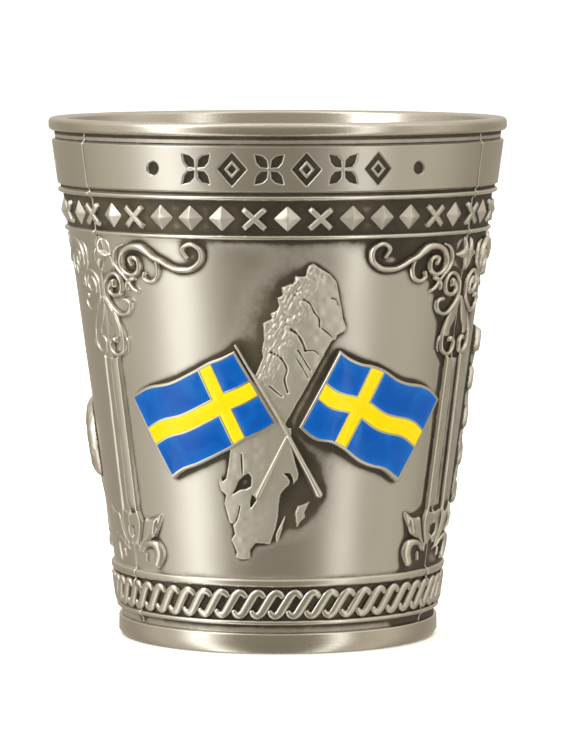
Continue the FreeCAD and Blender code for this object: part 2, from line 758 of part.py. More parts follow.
os.makedirs("parts", exist_ok=True)
for name, piece in nodes.items():
    piece.Shape.exportStep("parts/%s.step" % name)
    print("%-34s %9.2f mm3" % (name, piece.Shape.Volume))
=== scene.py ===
"""A pewter shot glass: a turned cup clad with cast relief panels, soldered at three
seams, with enamelled flags over a map in front. Sizes here are in millimetres until a
mesh is made; across is measured round the curved face from a panel's middle, rise is
measured outward from the plain cone that every panel is built on."""

import math

import bpy
import numpy as np
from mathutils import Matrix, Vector


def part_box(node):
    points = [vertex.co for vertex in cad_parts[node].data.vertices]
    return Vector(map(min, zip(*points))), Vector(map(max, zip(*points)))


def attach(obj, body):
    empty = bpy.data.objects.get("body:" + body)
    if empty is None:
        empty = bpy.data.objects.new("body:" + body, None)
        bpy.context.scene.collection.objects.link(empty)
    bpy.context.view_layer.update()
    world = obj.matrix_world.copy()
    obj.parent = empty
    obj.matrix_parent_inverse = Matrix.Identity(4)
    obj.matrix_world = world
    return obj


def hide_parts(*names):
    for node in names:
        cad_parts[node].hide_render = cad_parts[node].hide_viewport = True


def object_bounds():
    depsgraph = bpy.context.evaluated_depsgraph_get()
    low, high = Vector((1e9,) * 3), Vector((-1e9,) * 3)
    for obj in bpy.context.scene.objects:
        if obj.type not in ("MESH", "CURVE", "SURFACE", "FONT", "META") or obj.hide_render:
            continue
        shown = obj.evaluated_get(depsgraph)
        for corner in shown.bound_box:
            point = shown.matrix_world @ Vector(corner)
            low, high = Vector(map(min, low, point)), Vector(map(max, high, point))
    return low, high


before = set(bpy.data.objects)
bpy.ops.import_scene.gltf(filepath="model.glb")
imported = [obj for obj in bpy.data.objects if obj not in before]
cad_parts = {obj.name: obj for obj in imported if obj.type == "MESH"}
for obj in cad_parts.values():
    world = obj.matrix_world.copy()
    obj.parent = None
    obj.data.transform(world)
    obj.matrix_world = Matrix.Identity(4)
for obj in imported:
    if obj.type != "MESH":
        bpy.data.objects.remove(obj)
design_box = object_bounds()

MM = 0.001

# ---------------------------------------------------------------- sizes from the frame

HEIGHT = (design_box[1].z - design_box[0].z) / MM
RIM_RADIUS = (design_box[1].x - design_box[0].x) / 2 / MM
PANEL_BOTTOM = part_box("front_panel")[0].z / MM
PANEL_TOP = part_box("front_panel")[1].z / MM

CONE_BASE = 14.84
CONE_SLOPE = 0.135
PANEL_WALL = 0.75
CUP_WALL = 0.5
FLOOR_TOP = 5.0
FOOT_RADIUS = 15.42
FOOT_BASE_RADIUS = 15.2
HOLLOW_RADIUS = 12.8
HOLLOW_DEPTH = 0.8

FIELD_BOTTOM = 7.25
FIELD_TOP = 39.2
STUD_MIDDLE = 41.2
ROPE_MIDDLE = 4.83
BAND_BOTTOM = 43.62
BAND_TOP = 47.95
BAND_MIDDLE = 45.75

THIRD = math.pi / 3
PANEL_HALF = math.radians(59.65)
PANEL_TURN = {"front": 0.0, "left": math.radians(-120), "right": math.radians(120)}
STUDS_PER_PANEL = 14
LINKS_PER_PANEL = 19

# rises above the plain cone: the open ground of a relief raster, what of it is shown,
# and the back of a relief piece inside the metal
SUNK_GROUND = -0.6
SHOWN_ABOVE = -0.12
RELIEF_BACK = -0.66


def cone(z):
    """Radius of the plain field at a height."""
    return CONE_BASE + CONE_SLOPE * z


# ---------------------------------------------------------------- plain mathematics


def ease(low, high, value):
    """0 below low, 1 above high, smooth between."""
    part = np.clip((value - low) / (high - low), 0.0, 1.0)
    return part * part * (3 - 2 * part)


def smooth_line(points, closed=False, steps=8):
    """Points along a Catmull-Rom curve through the given ones."""
    points = np.array(points, float)
    if closed:
        ring = np.vstack([points[-1], points, points[0], points[1]])
    else:
        before = 2 * points[0] - points[1]
        after = 2 * points[-1] - points[-2]
        ring = np.vstack([before, points, after])
    found = []
    for a, b, c, d in zip(ring[:-3], ring[1:-2], ring[2:-1], ring[3:]):
        for step in range(steps):
            t = step / steps
            pull = 2 * b + (c - a) * t + (2 * a - 5 * b + 4 * c - d) * t ** 2
            found.append(0.5 * (pull + (3 * b - a - 3 * c + d) * t ** 3))
    if not closed:
        found.append(points[-1])
    return np.array(found)


def cloud(u, z, cell, seed):
    """Smooth random values from -1 to 1 over a flat sheet, one knot per cell."""
    knots = np.random.RandomState(seed).uniform(-1, 1, (64, 64))
    x = u / cell + 32
    y = z / cell
    column = np.floor(x).astype(int)
    row = np.floor(y).astype(int)
    a = ease(0, 1, x - column)
    b = ease(0, 1, y - row)
    low = knots[row % 64, column % 64] * (1 - a) + knots[row % 64, (column + 1) % 64] * a
    row += 1
    high = knots[row % 64, column % 64] * (1 - a) + knots[row % 64, (column + 1) % 64] * a
    return low * (1 - b) + high * b


def soften(values, cells):
    """A blur over about that many grid cells each way."""
    reach = max(1, int(round(cells * 2.5)))
    weights = np.exp(-0.5 * (np.arange(-reach, reach + 1) / cells) ** 2)
    weights /= weights.sum()
    padded = np.pad(values, reach, mode="edge")
    across = np.zeros((padded.shape[0], values.shape[1]))
    for index, weight in enumerate(weights):
        across += weight * padded[:, index:index + values.shape[1]]
    down = np.zeros(values.shape)
    for index, weight in enumerate(weights):
        down += weight * across[index:index + values.shape[0], :]
    return down


def half_widths(path, widths):
    """Half the width at each point of a path, from a few widths spread along it."""
    return np.interp(np.linspace(0, 1, len(path)), np.linspace(0, 1, len(widths)), widths) / 2


def stroke_ratio(u, z, path, widths):
    """Distance to a path over the path's half width there, and that half width."""
    ratio = np.full(u.shape, 9.0)
    half = np.full(u.shape, 0.1)
    halves = half_widths(path, widths)
    for start, end, half_start, half_end in zip(path[:-1], path[1:], halves[:-1], halves[1:]):
        run = end - start
        part = ((u - start[0]) * run[0] + (z - start[1]) * run[1]) / max(run @ run, 1e-9)
        part = np.clip(part, 0, 1)
        here = half_start + (half_end - half_start) * part
        away = np.hypot(u - start[0] - run[0] * part, z - start[1] - run[1] * part) / here
        nearer = away < ratio
        ratio[nearer] = away[nearer]
        half[nearer] = here[nearer]
    return ratio, half


def inside_distance(u, z, outline):
    """Distance to a closed outline, positive inside it."""
    distance = np.full(u.shape, 99.0)
    inside = np.zeros(u.shape, bool)
    for start, end in zip(outline, np.roll(outline, -1, axis=0)):
        run = end - start
        part = ((u - start[0]) * run[0] + (z - start[1]) * run[1]) / max(run @ run, 1e-9)
        part = np.clip(part, 0, 1)
        away = np.hypot(u - start[0] - run[0] * part, z - start[1] - run[1] * part)
        distance = np.minimum(distance, away)
        if start[1] != end[1]:
            crosses = (start[1] > z) != (end[1] > z)
            inside ^= crosses & (u < start[0] + run[0] * (z - start[1]) / run[1])
    return np.where(inside, distance, -distance)


# ---------------------------------------------------------------- meshes


def new_object(name, data):
    """An object in the scene with the given mesh, light or camera data."""
    piece = bpy.data.objects.new(name, data)
    bpy.context.scene.collection.objects.link(piece)
    return piece


def new_mesh(name, points, faces):
    """A smooth-shaded object from millimetre points and a list of equal-sided face arrays."""
    mesh = bpy.data.meshes.new(name)
    mesh.vertices.add(len(points))
    mesh.vertices.foreach_set("co", (np.asarray(points, float) * MM).ravel())
    loops = np.concatenate([np.asarray(group).ravel() for group in faces])
    sides = np.concatenate([np.full(len(group), np.asarray(group).shape[1]) for group in faces])
    mesh.loops.add(len(loops))
    mesh.loops.foreach_set("vertex_index", loops)
    mesh.polygons.add(len(sides))
    mesh.polygons.foreach_set("loop_start", np.concatenate([[0], np.cumsum(sides)[:-1]]))
    mesh.update(calc_edges=True)
    mesh.validate()
    mesh.polygons.foreach_set("use_smooth", np.ones(len(mesh.polygons), bool))
    return new_object(name, mesh)


def loose_points(name, points, joined=False):
    """Bare points, or a line through them, for a node tree to work on."""
    mesh = bpy.data.meshes.new(name)
    edges = [(index, index + 1) for index in range(len(points) - 1)] if joined else []
    mesh.from_pydata([tuple(point) for point in points * MM], edges, [])
    return new_object(name, mesh)


def paint(piece, name, values):
    """Keep one number for each point, such as how deep in a recess it lies."""
    layer = piece.data.attributes.new(name, "FLOAT", "POINT")
    values = np.broadcast_to(values, len(piece.data.vertices))
    layer.data.foreach_set("value", np.ascontiguousarray(values, np.float32))


def paint_patina(piece, recess, hollow=0.0, shade=0.0):
    """How far each point lies in a narrow recess and in a wide hollow, and the grime added to them."""
    paint(piece, "recess", recess)
    paint(piece, "hollow", hollow)
    paint(piece, "shade", shade)


def finish_piece(piece, material, slot, *nodes):
    """Give a piece its material and the CAD nodes it stands for; slot is not used."""
    piece.data.materials.clear()
    piece.data.materials.append(material)
    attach(piece, "root")
    if nodes:
        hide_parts(*nodes)


def in_space(radius, angle, height):
    """Points from their distance to the axis, their turn from the front, and their height."""
    return np.stack([radius * np.sin(angle), -radius * np.cos(angle), height], axis=-1)


class Patch:
    """A grid over part of one panel, on which relief is raised from the plain cone."""

    def __init__(self, turns, heights, ground):
        self.turn, self.z = np.meshgrid(turns, heights)
        self.u = self.turn * cone(self.z)
        self.rise = np.full(self.u.shape, float(ground))
        self.step = float(heights[1] - heights[0])

    def near(self, shape, margin):
        low = shape.min(axis=0) - margin
        high = shape.max(axis=0) + margin
        return (self.u > low[0]) & (self.u < high[0]) & (self.z > low[1]) & (self.z < high[1])

    def lift(self, where, level):
        self.rise[where] = np.maximum(self.rise[where], level)

    def ridge(self, points, widths, rise, steps=8):
        """A rounded stem, as wide as the list says from its start to its end."""
        path = smooth_line(points, steps=steps)
        where = self.near(path, max(widths) + 0.2)
        if not where.any():
            return
        ratio, half = stroke_ratio(self.u[where], self.z[where], path, widths)
        crown = np.sqrt(np.clip(1 - ratio ** 2, 0, 1))
        skirt = SUNK_GROUND * np.clip(ratio - 1, 0, 1)
        full = rise * np.clip(half / 0.26, 0.35, 1.25)
        self.lift(where, np.where(ratio < 1, 0.06 + full * crown, 0.06 + skirt))

    def slab(self, outline, rise, edge=0.18, dome=0.0, closed_curve=False, rough=None):
        """A flat-topped plate with rounded edges, or a cushion where dome is given."""
        outline = smooth_line(outline, closed=True, steps=5) if closed_curve else np.array(outline)
        where = self.near(outline, 0.5)
        if not where.any():
            return
        u, z = self.u[where], self.z[where]
        deep = inside_distance(u, z, outline)
        top = rise * np.sqrt(np.clip(1 - np.clip(1 - deep / edge, 0, 1) ** 2, 0, 1))
        top += dome * (1 - np.exp(-np.clip(deep, 0, None) / 1.2))
        if rough is not None:
            top += rough(u, z) * ease(0.0, 0.3, deep)
        self.lift(where, np.where(deep > 0, top, np.clip(deep, SUNK_GROUND, 0)))

    def groove(self, points, width, depth):
        """A cut along a line."""
        path = smooth_line(points, steps=5)
        where = self.near(path, width + 0.2)
        if not where.any():
            return
        ratio = stroke_ratio(self.u[where], self.z[where], path, [width, width])[0]
        self.rise[where] -= depth * np.exp(-ratio ** 2)

    def cut(self, outline, depth, edge=0.08):
        """A flat-bottomed pocket."""
        outline = np.array(outline, float)
        where = self.near(outline, 0.4)
        if not where.any():
            return
        deep = inside_distance(self.u[where], self.z[where], outline)
        self.rise[where] -= depth * ease(-edge, edge, deep)

    def recess(self, reach):
        """How much lower each point lies than its surroundings, over a reach."""
        floor = np.maximum(self.rise, -0.1)
        return soften(floor, reach / self.step) - floor

    def points(self, turn, rise=None):
        radius = cone(self.z) + (self.rise if rise is None else rise)
        return in_space(radius, self.turn + turn, self.z).reshape(-1, 3)


def grid_faces(rows, columns, keep=None):
    """Outward faces of a grid whose rows go up and whose columns go to the right."""
    index = np.arange(rows * columns).reshape(rows, columns)
    faces = np.stack([index[:-1, :-1], index[:-1, 1:], index[1:, 1:], index[1:, :-1]], axis=-1)
    faces = faces.reshape(-1, 4)
    return faces if keep is None else faces[keep.ravel()]


def closed_shell(name, top, bottom, keep):
    """A solid between two equal grids of points, over the kept cells of the grid."""
    rows, columns = keep.shape[0] + 1, keep.shape[1] + 1
    index = np.arange(rows * columns).reshape(rows, columns)
    upper = grid_faces(rows, columns, keep)
    lower = upper[:, ::-1] + rows * columns
    walls = []
    padded = np.pad(keep, 1)
    sides = [
        (padded[:-2, 1:-1], index[:-1, :-1], index[:-1, 1:]),
        (padded[2:, 1:-1], index[1:, 1:], index[1:, :-1]),
        (padded[1:-1, :-2], index[1:, :-1], index[:-1, :-1]),
        (padded[1:-1, 2:], index[:-1, 1:], index[1:, 1:]),
    ]
    for beyond, start, end in sides:
        edge = keep & ~beyond
        first, last = start[edge], end[edge]
        walls.append(np.stack([last, first, first + rows * columns, last + rows * columns], axis=-1))
    points = np.vstack([top.reshape(-1, 3), bottom.reshape(-1, 3)])
    faces = np.vstack([upper, lower] + walls)
    used, faces = np.unique(faces, return_inverse=True)
    return new_mesh(name, points[used], [faces.reshape(-1, 4)]), used


NARROW_REACH = 0.35
WIDE_REACH = 1.2


def relief_piece(name, patch, turn, grime=1.0, dull=0.0):
    """What stands above the panel in a patch, with its rim and its back sunk in the metal."""
    shown = patch.rise > SHOWN_ABOVE
    keep = shown[:-1, :-1] | shown[:-1, 1:] | shown[1:, 1:] | shown[1:, :-1]
    for _ in range(2):
        a, b, c, d = keep[:-1, :-1], keep[:-1, 1:], keep[1:, :-1], keep[1:, 1:]
        touching = (a & d & ~b & ~c) | (b & c & ~a & ~d)
        for quarter in (a, b, c, d):
            quarter |= touching
    piece, used = closed_shell(name, patch.points(turn), patch.points(turn, RELIEF_BACK), keep)
    shade = ease(0.16, -0.05, patch.rise) * grime + dull
    layers = [patch.recess(NARROW_REACH) * grime, patch.recess(WIDE_REACH) * grime, shade]
    paint_patina(piece, *[np.tile(layer.ravel(), 2)[used] for layer in layers])
    return piece


def sheet_piece(name, patch, turn, thickness, recess, hollow, shade):
    """A whole patch as a closed casting with a smooth back."""
    rows, columns = patch.rise.shape
    front = patch.points(turn)
    back = []
    for row in (0, rows - 1):
        back.append(in_space(cone(patch.z[row]) - thickness, patch.turn[row] + turn, patch.z[row]))
    points = np.vstack([front, back[0], back[1]])
    index = np.arange(rows * columns).reshape(rows, columns)
    low = rows * columns + np.arange(columns)
    high = low + columns
    behind = np.stack([low[1:], low[:-1], high[:-1], high[1:]], axis=-1)
    under = np.stack([low[:-1], low[1:], index[0, 1:], index[0, :-1]], axis=-1)
    over = np.stack([index[-1, :-1], index[-1, 1:], high[1:], high[:-1]], axis=-1)
    left = np.concatenate([[low[0]], index[:, 0], [high[0]]])
    right = np.concatenate([[high[-1]], index[::-1, -1], [low[-1]]])
    faces = [grid_faces(rows, columns), behind, under, over, left[None], right[None]]
    piece = new_mesh(name, points, faces)
    clean = np.zeros(2 * columns)
    paint_patina(piece, *[np.concatenate([layer.ravel(), clean]) for layer in (recess, hollow, shade)])
    return piece


# ---------------------------------------------------------------- the castings' border

SCROLL_S = [
    (-9.45, 37.5), (-9.9, 38.3), (-9.1, 38.75), (-8.15, 38.25), (-8.1, 37.2), (-9.05, 36.45),
    (-10.3, 36.35), (-11.2, 36.6), (-12.1, 37.05), (-13.0, 37.4), (-13.7, 37.85), (-14.65, 38.3),
    (-15.8, 38.25), (-16.7, 37.75), (-17.05, 36.8), (-16.55, 35.95), (-15.55, 35.65), (-14.8, 36.15),
    (-14.8, 36.9), (-15.3, 37.3), (-15.9, 37.15), (-15.65, 36.7),
]
SCROLL_S_WIDTHS = [0.45, 0.55, 0.6, 0.6, 0.62, 0.85, 0.66, 0.54, 0.5, 0.5, 0.5]
SCROLL_TENDRIL = [
    (-13.5, 37.75), (-12.9, 37.1), (-12.55, 36.25), (-12.75, 35.45), (-13.5, 35.1), (-14.15, 35.4),
    (-14.1, 35.85),
]
SCROLL_ARM = [
    (-16.95, 38.45), (-17.7, 38.15), (-18.05, 37.5), (-18.0, 36.7), (-17.45, 36.05), (-16.75, 35.5),
    (-16.25, 35.05),
]
TREFOIL = [
    [(-16.4, 35.1), (-15.9, 35.2), (-15.45, 35.3)],
    [(-16.3, 35.1), (-15.6, 34.4), (-15.0, 34.1)],
    [(-16.4, 35.1), (-16.4, 34.6), (-16.4, 34.25)],
]
VOLUTE = [
    (-18.25, 34.55), (-18.3, 34.95), (-18.7, 34.7), (-18.95, 34.15), (-18.65, 33.75), (-18.1, 33.6),
    (-17.4, 33.8), (-17.1, 34.3), (-17.2, 34.9), (-17.65, 35.45), (-18.3, 35.65), (-19.05, 35.4),
    (-19.6, 34.8), (-19.65, 34.1), (-19.45, 33.35), (-18.85, 32.7), (-17.95, 32.05), (-17.2, 31.8),
    (-16.4, 31.95), (-15.95, 32.4), (-15.9, 32.9), (-16.3, 33.2), (-16.75, 33.25),
]
DROP = [
    (-18.6, 32.1), (-17.85, 31.35), (-17.25, 30.4), (-16.95, 29.65), (-16.85, 28.95), (-17.05, 28.35),
    (-17.8, 27.9), (-18.55, 28.1), (-18.95, 28.65), (-18.95, 29.1), (-18.5, 29.4), (-18.25, 29.25),
]
DROP_BODY = [
    (-20.4, 33.4), (-19.7, 33.2), (-18.6, 32.1), (-17.9, 31.2), (-17.4, 30.2), (-17.6, 29.6), (-18.3, 29.65),
    (-18.5, 30.3), (-19.15, 31.0), (-19.65, 31.9), (-20.1, 32.8),
]
BRACT = [(-17.0, 29.9), (-16.55, 29.4), (-16.4, 28.8), (-16.65, 28.15)]
CREST = [
    (-21.7, 39.0), (-20.0, 38.9), (-19.3, 38.55), (-18.95, 38.0), (-18.8, 37.3), (-18.55, 36.65),
    (-18.35, 36.3), (-19.0, 36.0), (-19.5, 35.85), (-20.0, 35.6), (-20.6, 35.5), (-21.5, 35.6),
]
STAR_MIDDLE = (-20.4, 37.35)
STAR_POINT = 1.65
STAR_VALLEY = 0.72
LILY_MIDDLE = [
    (-17.8, 12.7), (-16.9, 12.65), (-15.9, 12.9), (-15.3, 12.3), (-15.45, 11.0), (-15.85, 10.0), (-16.3, 9.5),
    (-16.7, 9.9), (-17.6, 10.1),
]
LILY_HOLE = [(-17.0, 11.5), (-16.5, 11.4), (-16.35, 10.7), (-16.7, 10.3), (-17.2, 10.4), (-17.5, 10.8)]
LILY_RIB = [(-15.75, 12.85), (-15.35, 11.95), (-15.5, 10.85), (-15.75, 9.95), (-15.65, 9.1)]
LILY_PETAL = [
    (-14.7, 12.4), (-14.1, 12.4), (-13.4, 12.6), (-12.5, 13.1), (-12.4, 12.65), (-12.85, 11.6),
    (-13.25, 10.95), (-14.15, 10.4), (-15.1, 9.75), (-15.65, 9.1), (-15.95, 8.8), (-15.7, 9.5),
    (-15.2, 10.5), (-15.0, 11.4),
]
LILY_FOLD = [(-12.65, 12.8), (-13.2, 12.1), (-13.45, 11.1), (-14.3, 10.4)]
LILY_CURL = [
    (-15.35, 9.15), (-14.7, 9.75), (-13.9, 10.0), (-13.15, 9.85), (-12.8, 9.2), (-12.9, 8.6), (-13.1, 8.1),
]
PILASTER_FOOT = 13.1
PILASTER_HEAD = 27.5


def mirrored(points):
    return [(-across, height) for across, height in points]


def seam_place(z):
    """Distance from a panel's middle to the seam at its side, along the curved face."""
    return cone(z) * THIRD


def from_seam(points):
    """Points given as distance from the left seam, turned into places on the panel."""
    return [(gap - seam_place(height), height) for gap, height in points]


def add_border(patch, side, worn=1.0):
    """Scrolls, crest, pilaster and lily down one side of a panel; side is -1 or 1."""
    place = (lambda points: points) if side < 0 else mirrored
    patch.slab(place(CREST), 0.1 * worn, edge=0.3, closed_curve=True)
    star = []
    for index in range(8):
        angle = index * math.pi / 4
        reach = STAR_VALLEY if index % 2 else STAR_POINT
        star.append((STAR_MIDDLE[0] + reach * math.cos(angle), STAR_MIDDLE[1] + reach * math.sin(angle)))
    patch.slab(place(star), 0.6 * worn, edge=0.5)
    patch.slab(place(DROP_BODY), 0.26 * worn, edge=0.25, closed_curve=True)
    patch.ridge(place(SCROLL_S), SCROLL_S_WIDTHS, 0.5 * worn)
    patch.ridge(place(SCROLL_TENDRIL), [0.3, 0.46, 0.5, 0.5], 0.42 * worn)
    patch.ridge(place(SCROLL_ARM), [0.24, 0.46, 0.5, 0.4], 0.42 * worn)
    for lobe in TREFOIL:
        patch.ridge(place(lobe), [0.3, 0.5, 0.4], 0.4 * worn, steps=4)
    patch.ridge(place(VOLUTE), [0.5, 0.5, 0.46, 0.44, 0.44, 0.46, 0.5], 0.46 * worn)
    patch.ridge(place(DROP), [0.2, 0.4, 0.42, 0.44, 0.44], 0.5 * worn)
    patch.ridge(place(BRACT), [0.12, 0.28, 0.28, 0.1], 0.3 * worn, steps=4)
    rod_path = from_seam([(1.4, PILASTER_HEAD), (1.5, 20.0), (1.56, PILASTER_FOOT)])
    patch.ridge(place(rod_path), [0.46, 0.5, 0.52], 0.44 * worn)
    head = [(-1.4, PILASTER_HEAD), (1.1, PILASTER_HEAD)]
    foot = [(1.2, PILASTER_FOOT), (-1.4, PILASTER_FOOT)]
    patch.slab(place(from_seam(head + foot)), 0.24 * worn, edge=0.9)
    add_lily(patch, place, worn)


def add_lily(patch, place, worn):
    """Half of a heraldic lily whose middle petal stands on the seam."""
    patch.slab(place(LILY_MIDDLE), 0.32 * worn, edge=0.3, closed_curve=True)
    patch.cut(place(LILY_HOLE), 0.45 * worn)
    patch.ridge(place(LILY_RIB), [0.5, 0.5, 0.44, 0.34, 0.24], 0.46 * worn)
    patch.slab(place(LILY_PETAL), 0.36 * worn, edge=0.3, dome=0.1, closed_curve=True)
    patch.ridge(place(LILY_FOLD), [0.2, 0.66, 0.66, 0.3], 0.46 * worn)
    patch.ridge(place(LILY_CURL), [0.36, 0.5, 0.66, 1.05, 1.25, 1.1, 0.9], 0.42 * worn)
    patch.ridge(place([(-14.65, 8.3), (-14.6, 8.9)]), [0.36, 0.3], 0.36 * worn, steps=4)


# ---------------------------------------------------------------- the front: map, flags, poles

MAP_NORTH = [
    (2.4, 37.05), (3.0, 36.6), (4.0, 36.0), (4.6, 35.3), (4.8, 34.3), (5.1, 32.9), (5.25, 31.85),
    (5.6, 31.0), (5.45, 30.65), (4.7, 30.3), (4.2, 28.6), (2.6, 25.6), (0.6, 21.6), (-1.2, 21.6),
    (-2.8, 24.9), (-3.1, 26.0), (-2.75, 26.95), (-2.2, 28.25), (-2.3, 29.0), (-2.1, 30.0), (-2.2, 31.5),
    (-1.75, 31.75), (-1.4, 31.9), (-1.5, 32.4), (-0.95, 32.7), (-0.75, 33.1), (-0.9, 33.85), (-0.45, 34.1),
    (-0.5, 34.85), (0.1, 35.1), (0.6, 35.25), (0.75, 35.9), (1.3, 35.85), (1.7, 35.9), (1.8, 36.4),
    (2.0, 36.85),
]
MAP_SOUTH = [
    (-0.8, 22.6), (-3.8, 20.6), (-5.2, 19.6), (-5.35, 18.3), (-5.5, 17.4), (-5.6, 16.8), (-5.95, 16.5),
    (-6.2, 17.15), (-6.3, 16.3), (-6.1, 15.6), (-5.6, 15.2), (-5.75, 14.4), (-5.55, 13.6), (-5.25, 12.55),
    (-4.95, 12.4), (-4.75, 11.5), (-5.1, 10.95), (-4.8, 10.35), (-4.55, 9.75), (-4.7, 9.25), (-4.0, 9.05),
    (-3.3, 9.15), (-3.25, 10.05), (-2.8, 10.65), (-2.0, 10.65), (-1.45, 10.55), (-0.9, 12.1), (-0.7, 13.3),
    (-0.65, 14.2), (-0.5, 15.3), (-0.1, 15.85), (0.3, 16.2), (0.4, 16.6), (0.15, 17.05), (-0.2, 17.35),
    (0.35, 17.3), (0.6, 16.9), (0.7, 16.3), (1.1, 16.75), (1.2, 17.3), (0.9, 18.3), (0.5, 20.0), (0.5, 22.0),
]
BIG_LAKE = [
    (-4.4, 16.55), (-3.85, 17.1), (-3.5, 17.3), (-3.2, 16.95), (-3.25, 16.1), (-3.7, 15.85), (-4.3, 15.75),
    (-4.95, 15.3), (-4.65, 15.9),
]
SMALL_LAKE = [(-3.1, 15.3), (-2.75, 14.75), (-3.25, 14.05), (-3.3, 14.6)]
LONG_ISLAND = [(-0.05, 13.25), (-0.25, 12.3), (-0.55, 11.2), (-0.8, 10.7), (-0.95, 11.4), (-0.6, 12.3)]
ROUND_ISLAND = [
    (2.25, 14.65), (1.7, 14.4), (1.1, 14.2), (0.85, 13.6), (0.95, 12.8), (1.05, 12.15), (1.4, 12.75),
    (1.8, 13.1), (1.75, 13.6),
]
# each river's course and width
MAP_RIVERS = [
    ([(1.5, 33.7), (2.1, 33.3), (2.5, 32.5), (2.95, 31.9), (3.0, 31.1)], 0.14),
    ([(3.2, 31.0), (3.8, 30.5), (4.2, 30.1)], 0.12),
    ([(4.1, 33.8), (4.55, 33.6), (4.75, 33.1)], 0.14),
    ([(0.4, 30.9), (1.0, 30.4), (1.5, 29.5), (1.7, 28.9)], 0.24),
    ([(1.7, 28.9), (2.5, 28.9), (3.0, 28.5)], 0.1),
    ([(1.0, 29.0), (1.6, 28.0), (2.2, 27.0)], 0.14),
    ([(0.9, 28.2), (1.4, 27.4), (2.0, 26.3)], 0.12),
    ([(-1.5, 28.8), (-0.6, 28.3), (0.0, 27.2), (-0.2, 26.2), (0.1, 25.0)], 0.2),
    ([(-1.6, 25.6), (-0.9, 25.0), (-0.4, 24.6)], 0.14),
    ([(-4.15, 19.1), (-4.1, 18.0), (-4.05, 17.0)], 0.16),
    ([(-4.25, 14.2), (-4.45, 13.3), (-4.7, 12.6), (-5.0, 12.4)], 0.14),
]
# dark pools of patina in the sea: across, height, reach and strength
SEA_SHADES = [
    (1.2, 17.6, 1.4, 1.0), (1.6, 15.6, 1.9, 1.0), (0.4, 13.6, 1.5, 0.9), (1.0, 11.6, 1.8, 0.3),
    (2.6, 13.8, 1.6, 0.4), (3.4, 18.6, 2.2, 0.5), (0.4, 36.6, 2.4, 0.4), (-1.8, 34.4, 2.6, 0.42),
    (-3.2, 31.6, 2.6, 0.42), (-3.9, 28.6, 2.2, 0.5), (0.8, 19.4, 0.8, 0.5),
]
LEFT_FLAG_TOP = [
    (-4.75, 28.9), (-6.0, 28.25), (-7.3, 27.75), (-9.0, 26.8), (-11.2, 25.75), (-13.6, 25.2),
    (-15.7, 24.15),
]
LEFT_FLAG_BOTTOM = [
    (-0.8, 22.1), (-2.2, 21.2), (-3.8, 20.4), (-5.4, 19.4), (-8.0, 18.05), (-9.6, 17.4), (-10.8, 16.55),
]
RIGHT_FLAG_TOP = [
    (4.85, 28.9), (5.8, 28.2), (7.0, 27.65), (8.3, 27.35), (9.55, 26.85), (10.9, 26.0), (12.1, 25.55),
    (13.75, 25.25), (15.1, 24.7), (16.3, 23.7),
]
RIGHT_FLAG_BOTTOM = [
    (1.1, 21.7), (2.5, 20.5), (4.05, 20.15), (5.3, 19.45), (6.75, 18.3), (8.05, 17.7), (9.4, 17.3),
    (11.05, 16.1),
]
LEFT_POLE = [(-4.7, 29.35), (0.05, 21.2), (3.05, 15.3)]
# bare ground that is left along the hoist of the right flag
TRENCH = [(4.45, 29.5), (0.35, 22.0)]
TRENCH_WIDTH = 0.8
RIGHT_POLE = [(4.85, 29.2), (0.05, 20.8), (-2.6, 15.15)]


def mountains(u, z):
    """Short slanted ridges along the map's north-western edge."""
    west = ease(1.6, -1.2, u - (z - 30.0) * 0.42) * ease(24.0, 28.0, z)
    slant = u * 0.5 + z * 0.86
    ridges = np.abs(cloud(u * 2.2 - z * 0.9, slant * 0.8, 0.42, 11)) - 0.35
    return 0.3 * west * ridges + 0.045 * cloud(u, z, 0.6, 12) + 0.03 * cloud(u, z, 1.8, 14)


def lowland(u, z):
    return 0.022 * cloud(u, z, 0.5, 13) + 0.03 * cloud(u, z, 1.6, 15)


def add_map(patch):
    patch.slab(MAP_NORTH, 0.36, edge=0.12, rough=mountains)
    patch.slab(MAP_SOUTH, 0.34, edge=0.12, rough=lowland)
    patch.slab(LONG_ISLAND, 0.32, edge=0.12, closed_curve=True)
    patch.slab(ROUND_ISLAND, 0.34, edge=0.12)
    patch.cut(BIG_LAKE, 0.42)
    patch.cut(SMALL_LAKE, 0.42)
    for line, width in MAP_RIVERS:
        patch.groove(line, width, 0.24)
    trench = smooth_line(TRENCH, steps=2)
    ratio = stroke_ratio(patch.u, patch.z, trench, [TRENCH_WIDTH, TRENCH_WIDTH])[0]
    patch.rise = np.where(ratio < 1, SUNK_GROUND, patch.rise)


def add_poles(patch):
    """The left flag's pole lies over the right flag's, and both thicken below the crossing."""
    top, crossing, end = LEFT_POLE
    patch.ridge([RIGHT_POLE[1], RIGHT_POLE[2]], [0.4, 0.66], 0.5, steps=2)
    patch.ridge([top, crossing], [0.36, 0.42], 0.8, steps=2)
    patch.ridge([crossing, end], [0.46, 0.82], 0.56, steps=2)


# ---------------------------------------------------------------- the side panels' motifs

ELK_BODY = [
    (-6.6, 22.6), (-5.2, 24.8), (-3.4, 25.6), (-1.2, 24.2), (2.0, 23.0), (5.0, 22.9), (7.4, 22.4),
    (9.2, 21.0), (9.9, 18.8), (9.7, 16.6), (8.6, 15.2), (6.4, 15.6), (4.0, 16.0), (0.6, 15.9), (-2.6, 15.6),
    (-4.8, 16.6), (-6.2, 19.4),
]
ELK_HEAD = [
    (-5.0, 24.8), (-7.4, 26.6), (-9.2, 27.0), (-11.2, 26.0), (-13.2, 24.6), (-14.1, 23.4), (-13.4, 22.5),
    (-12.2, 22.7), (-10.4, 23.4), (-9.0, 22.8), (-7.4, 20.6), (-6.2, 19.8),
]
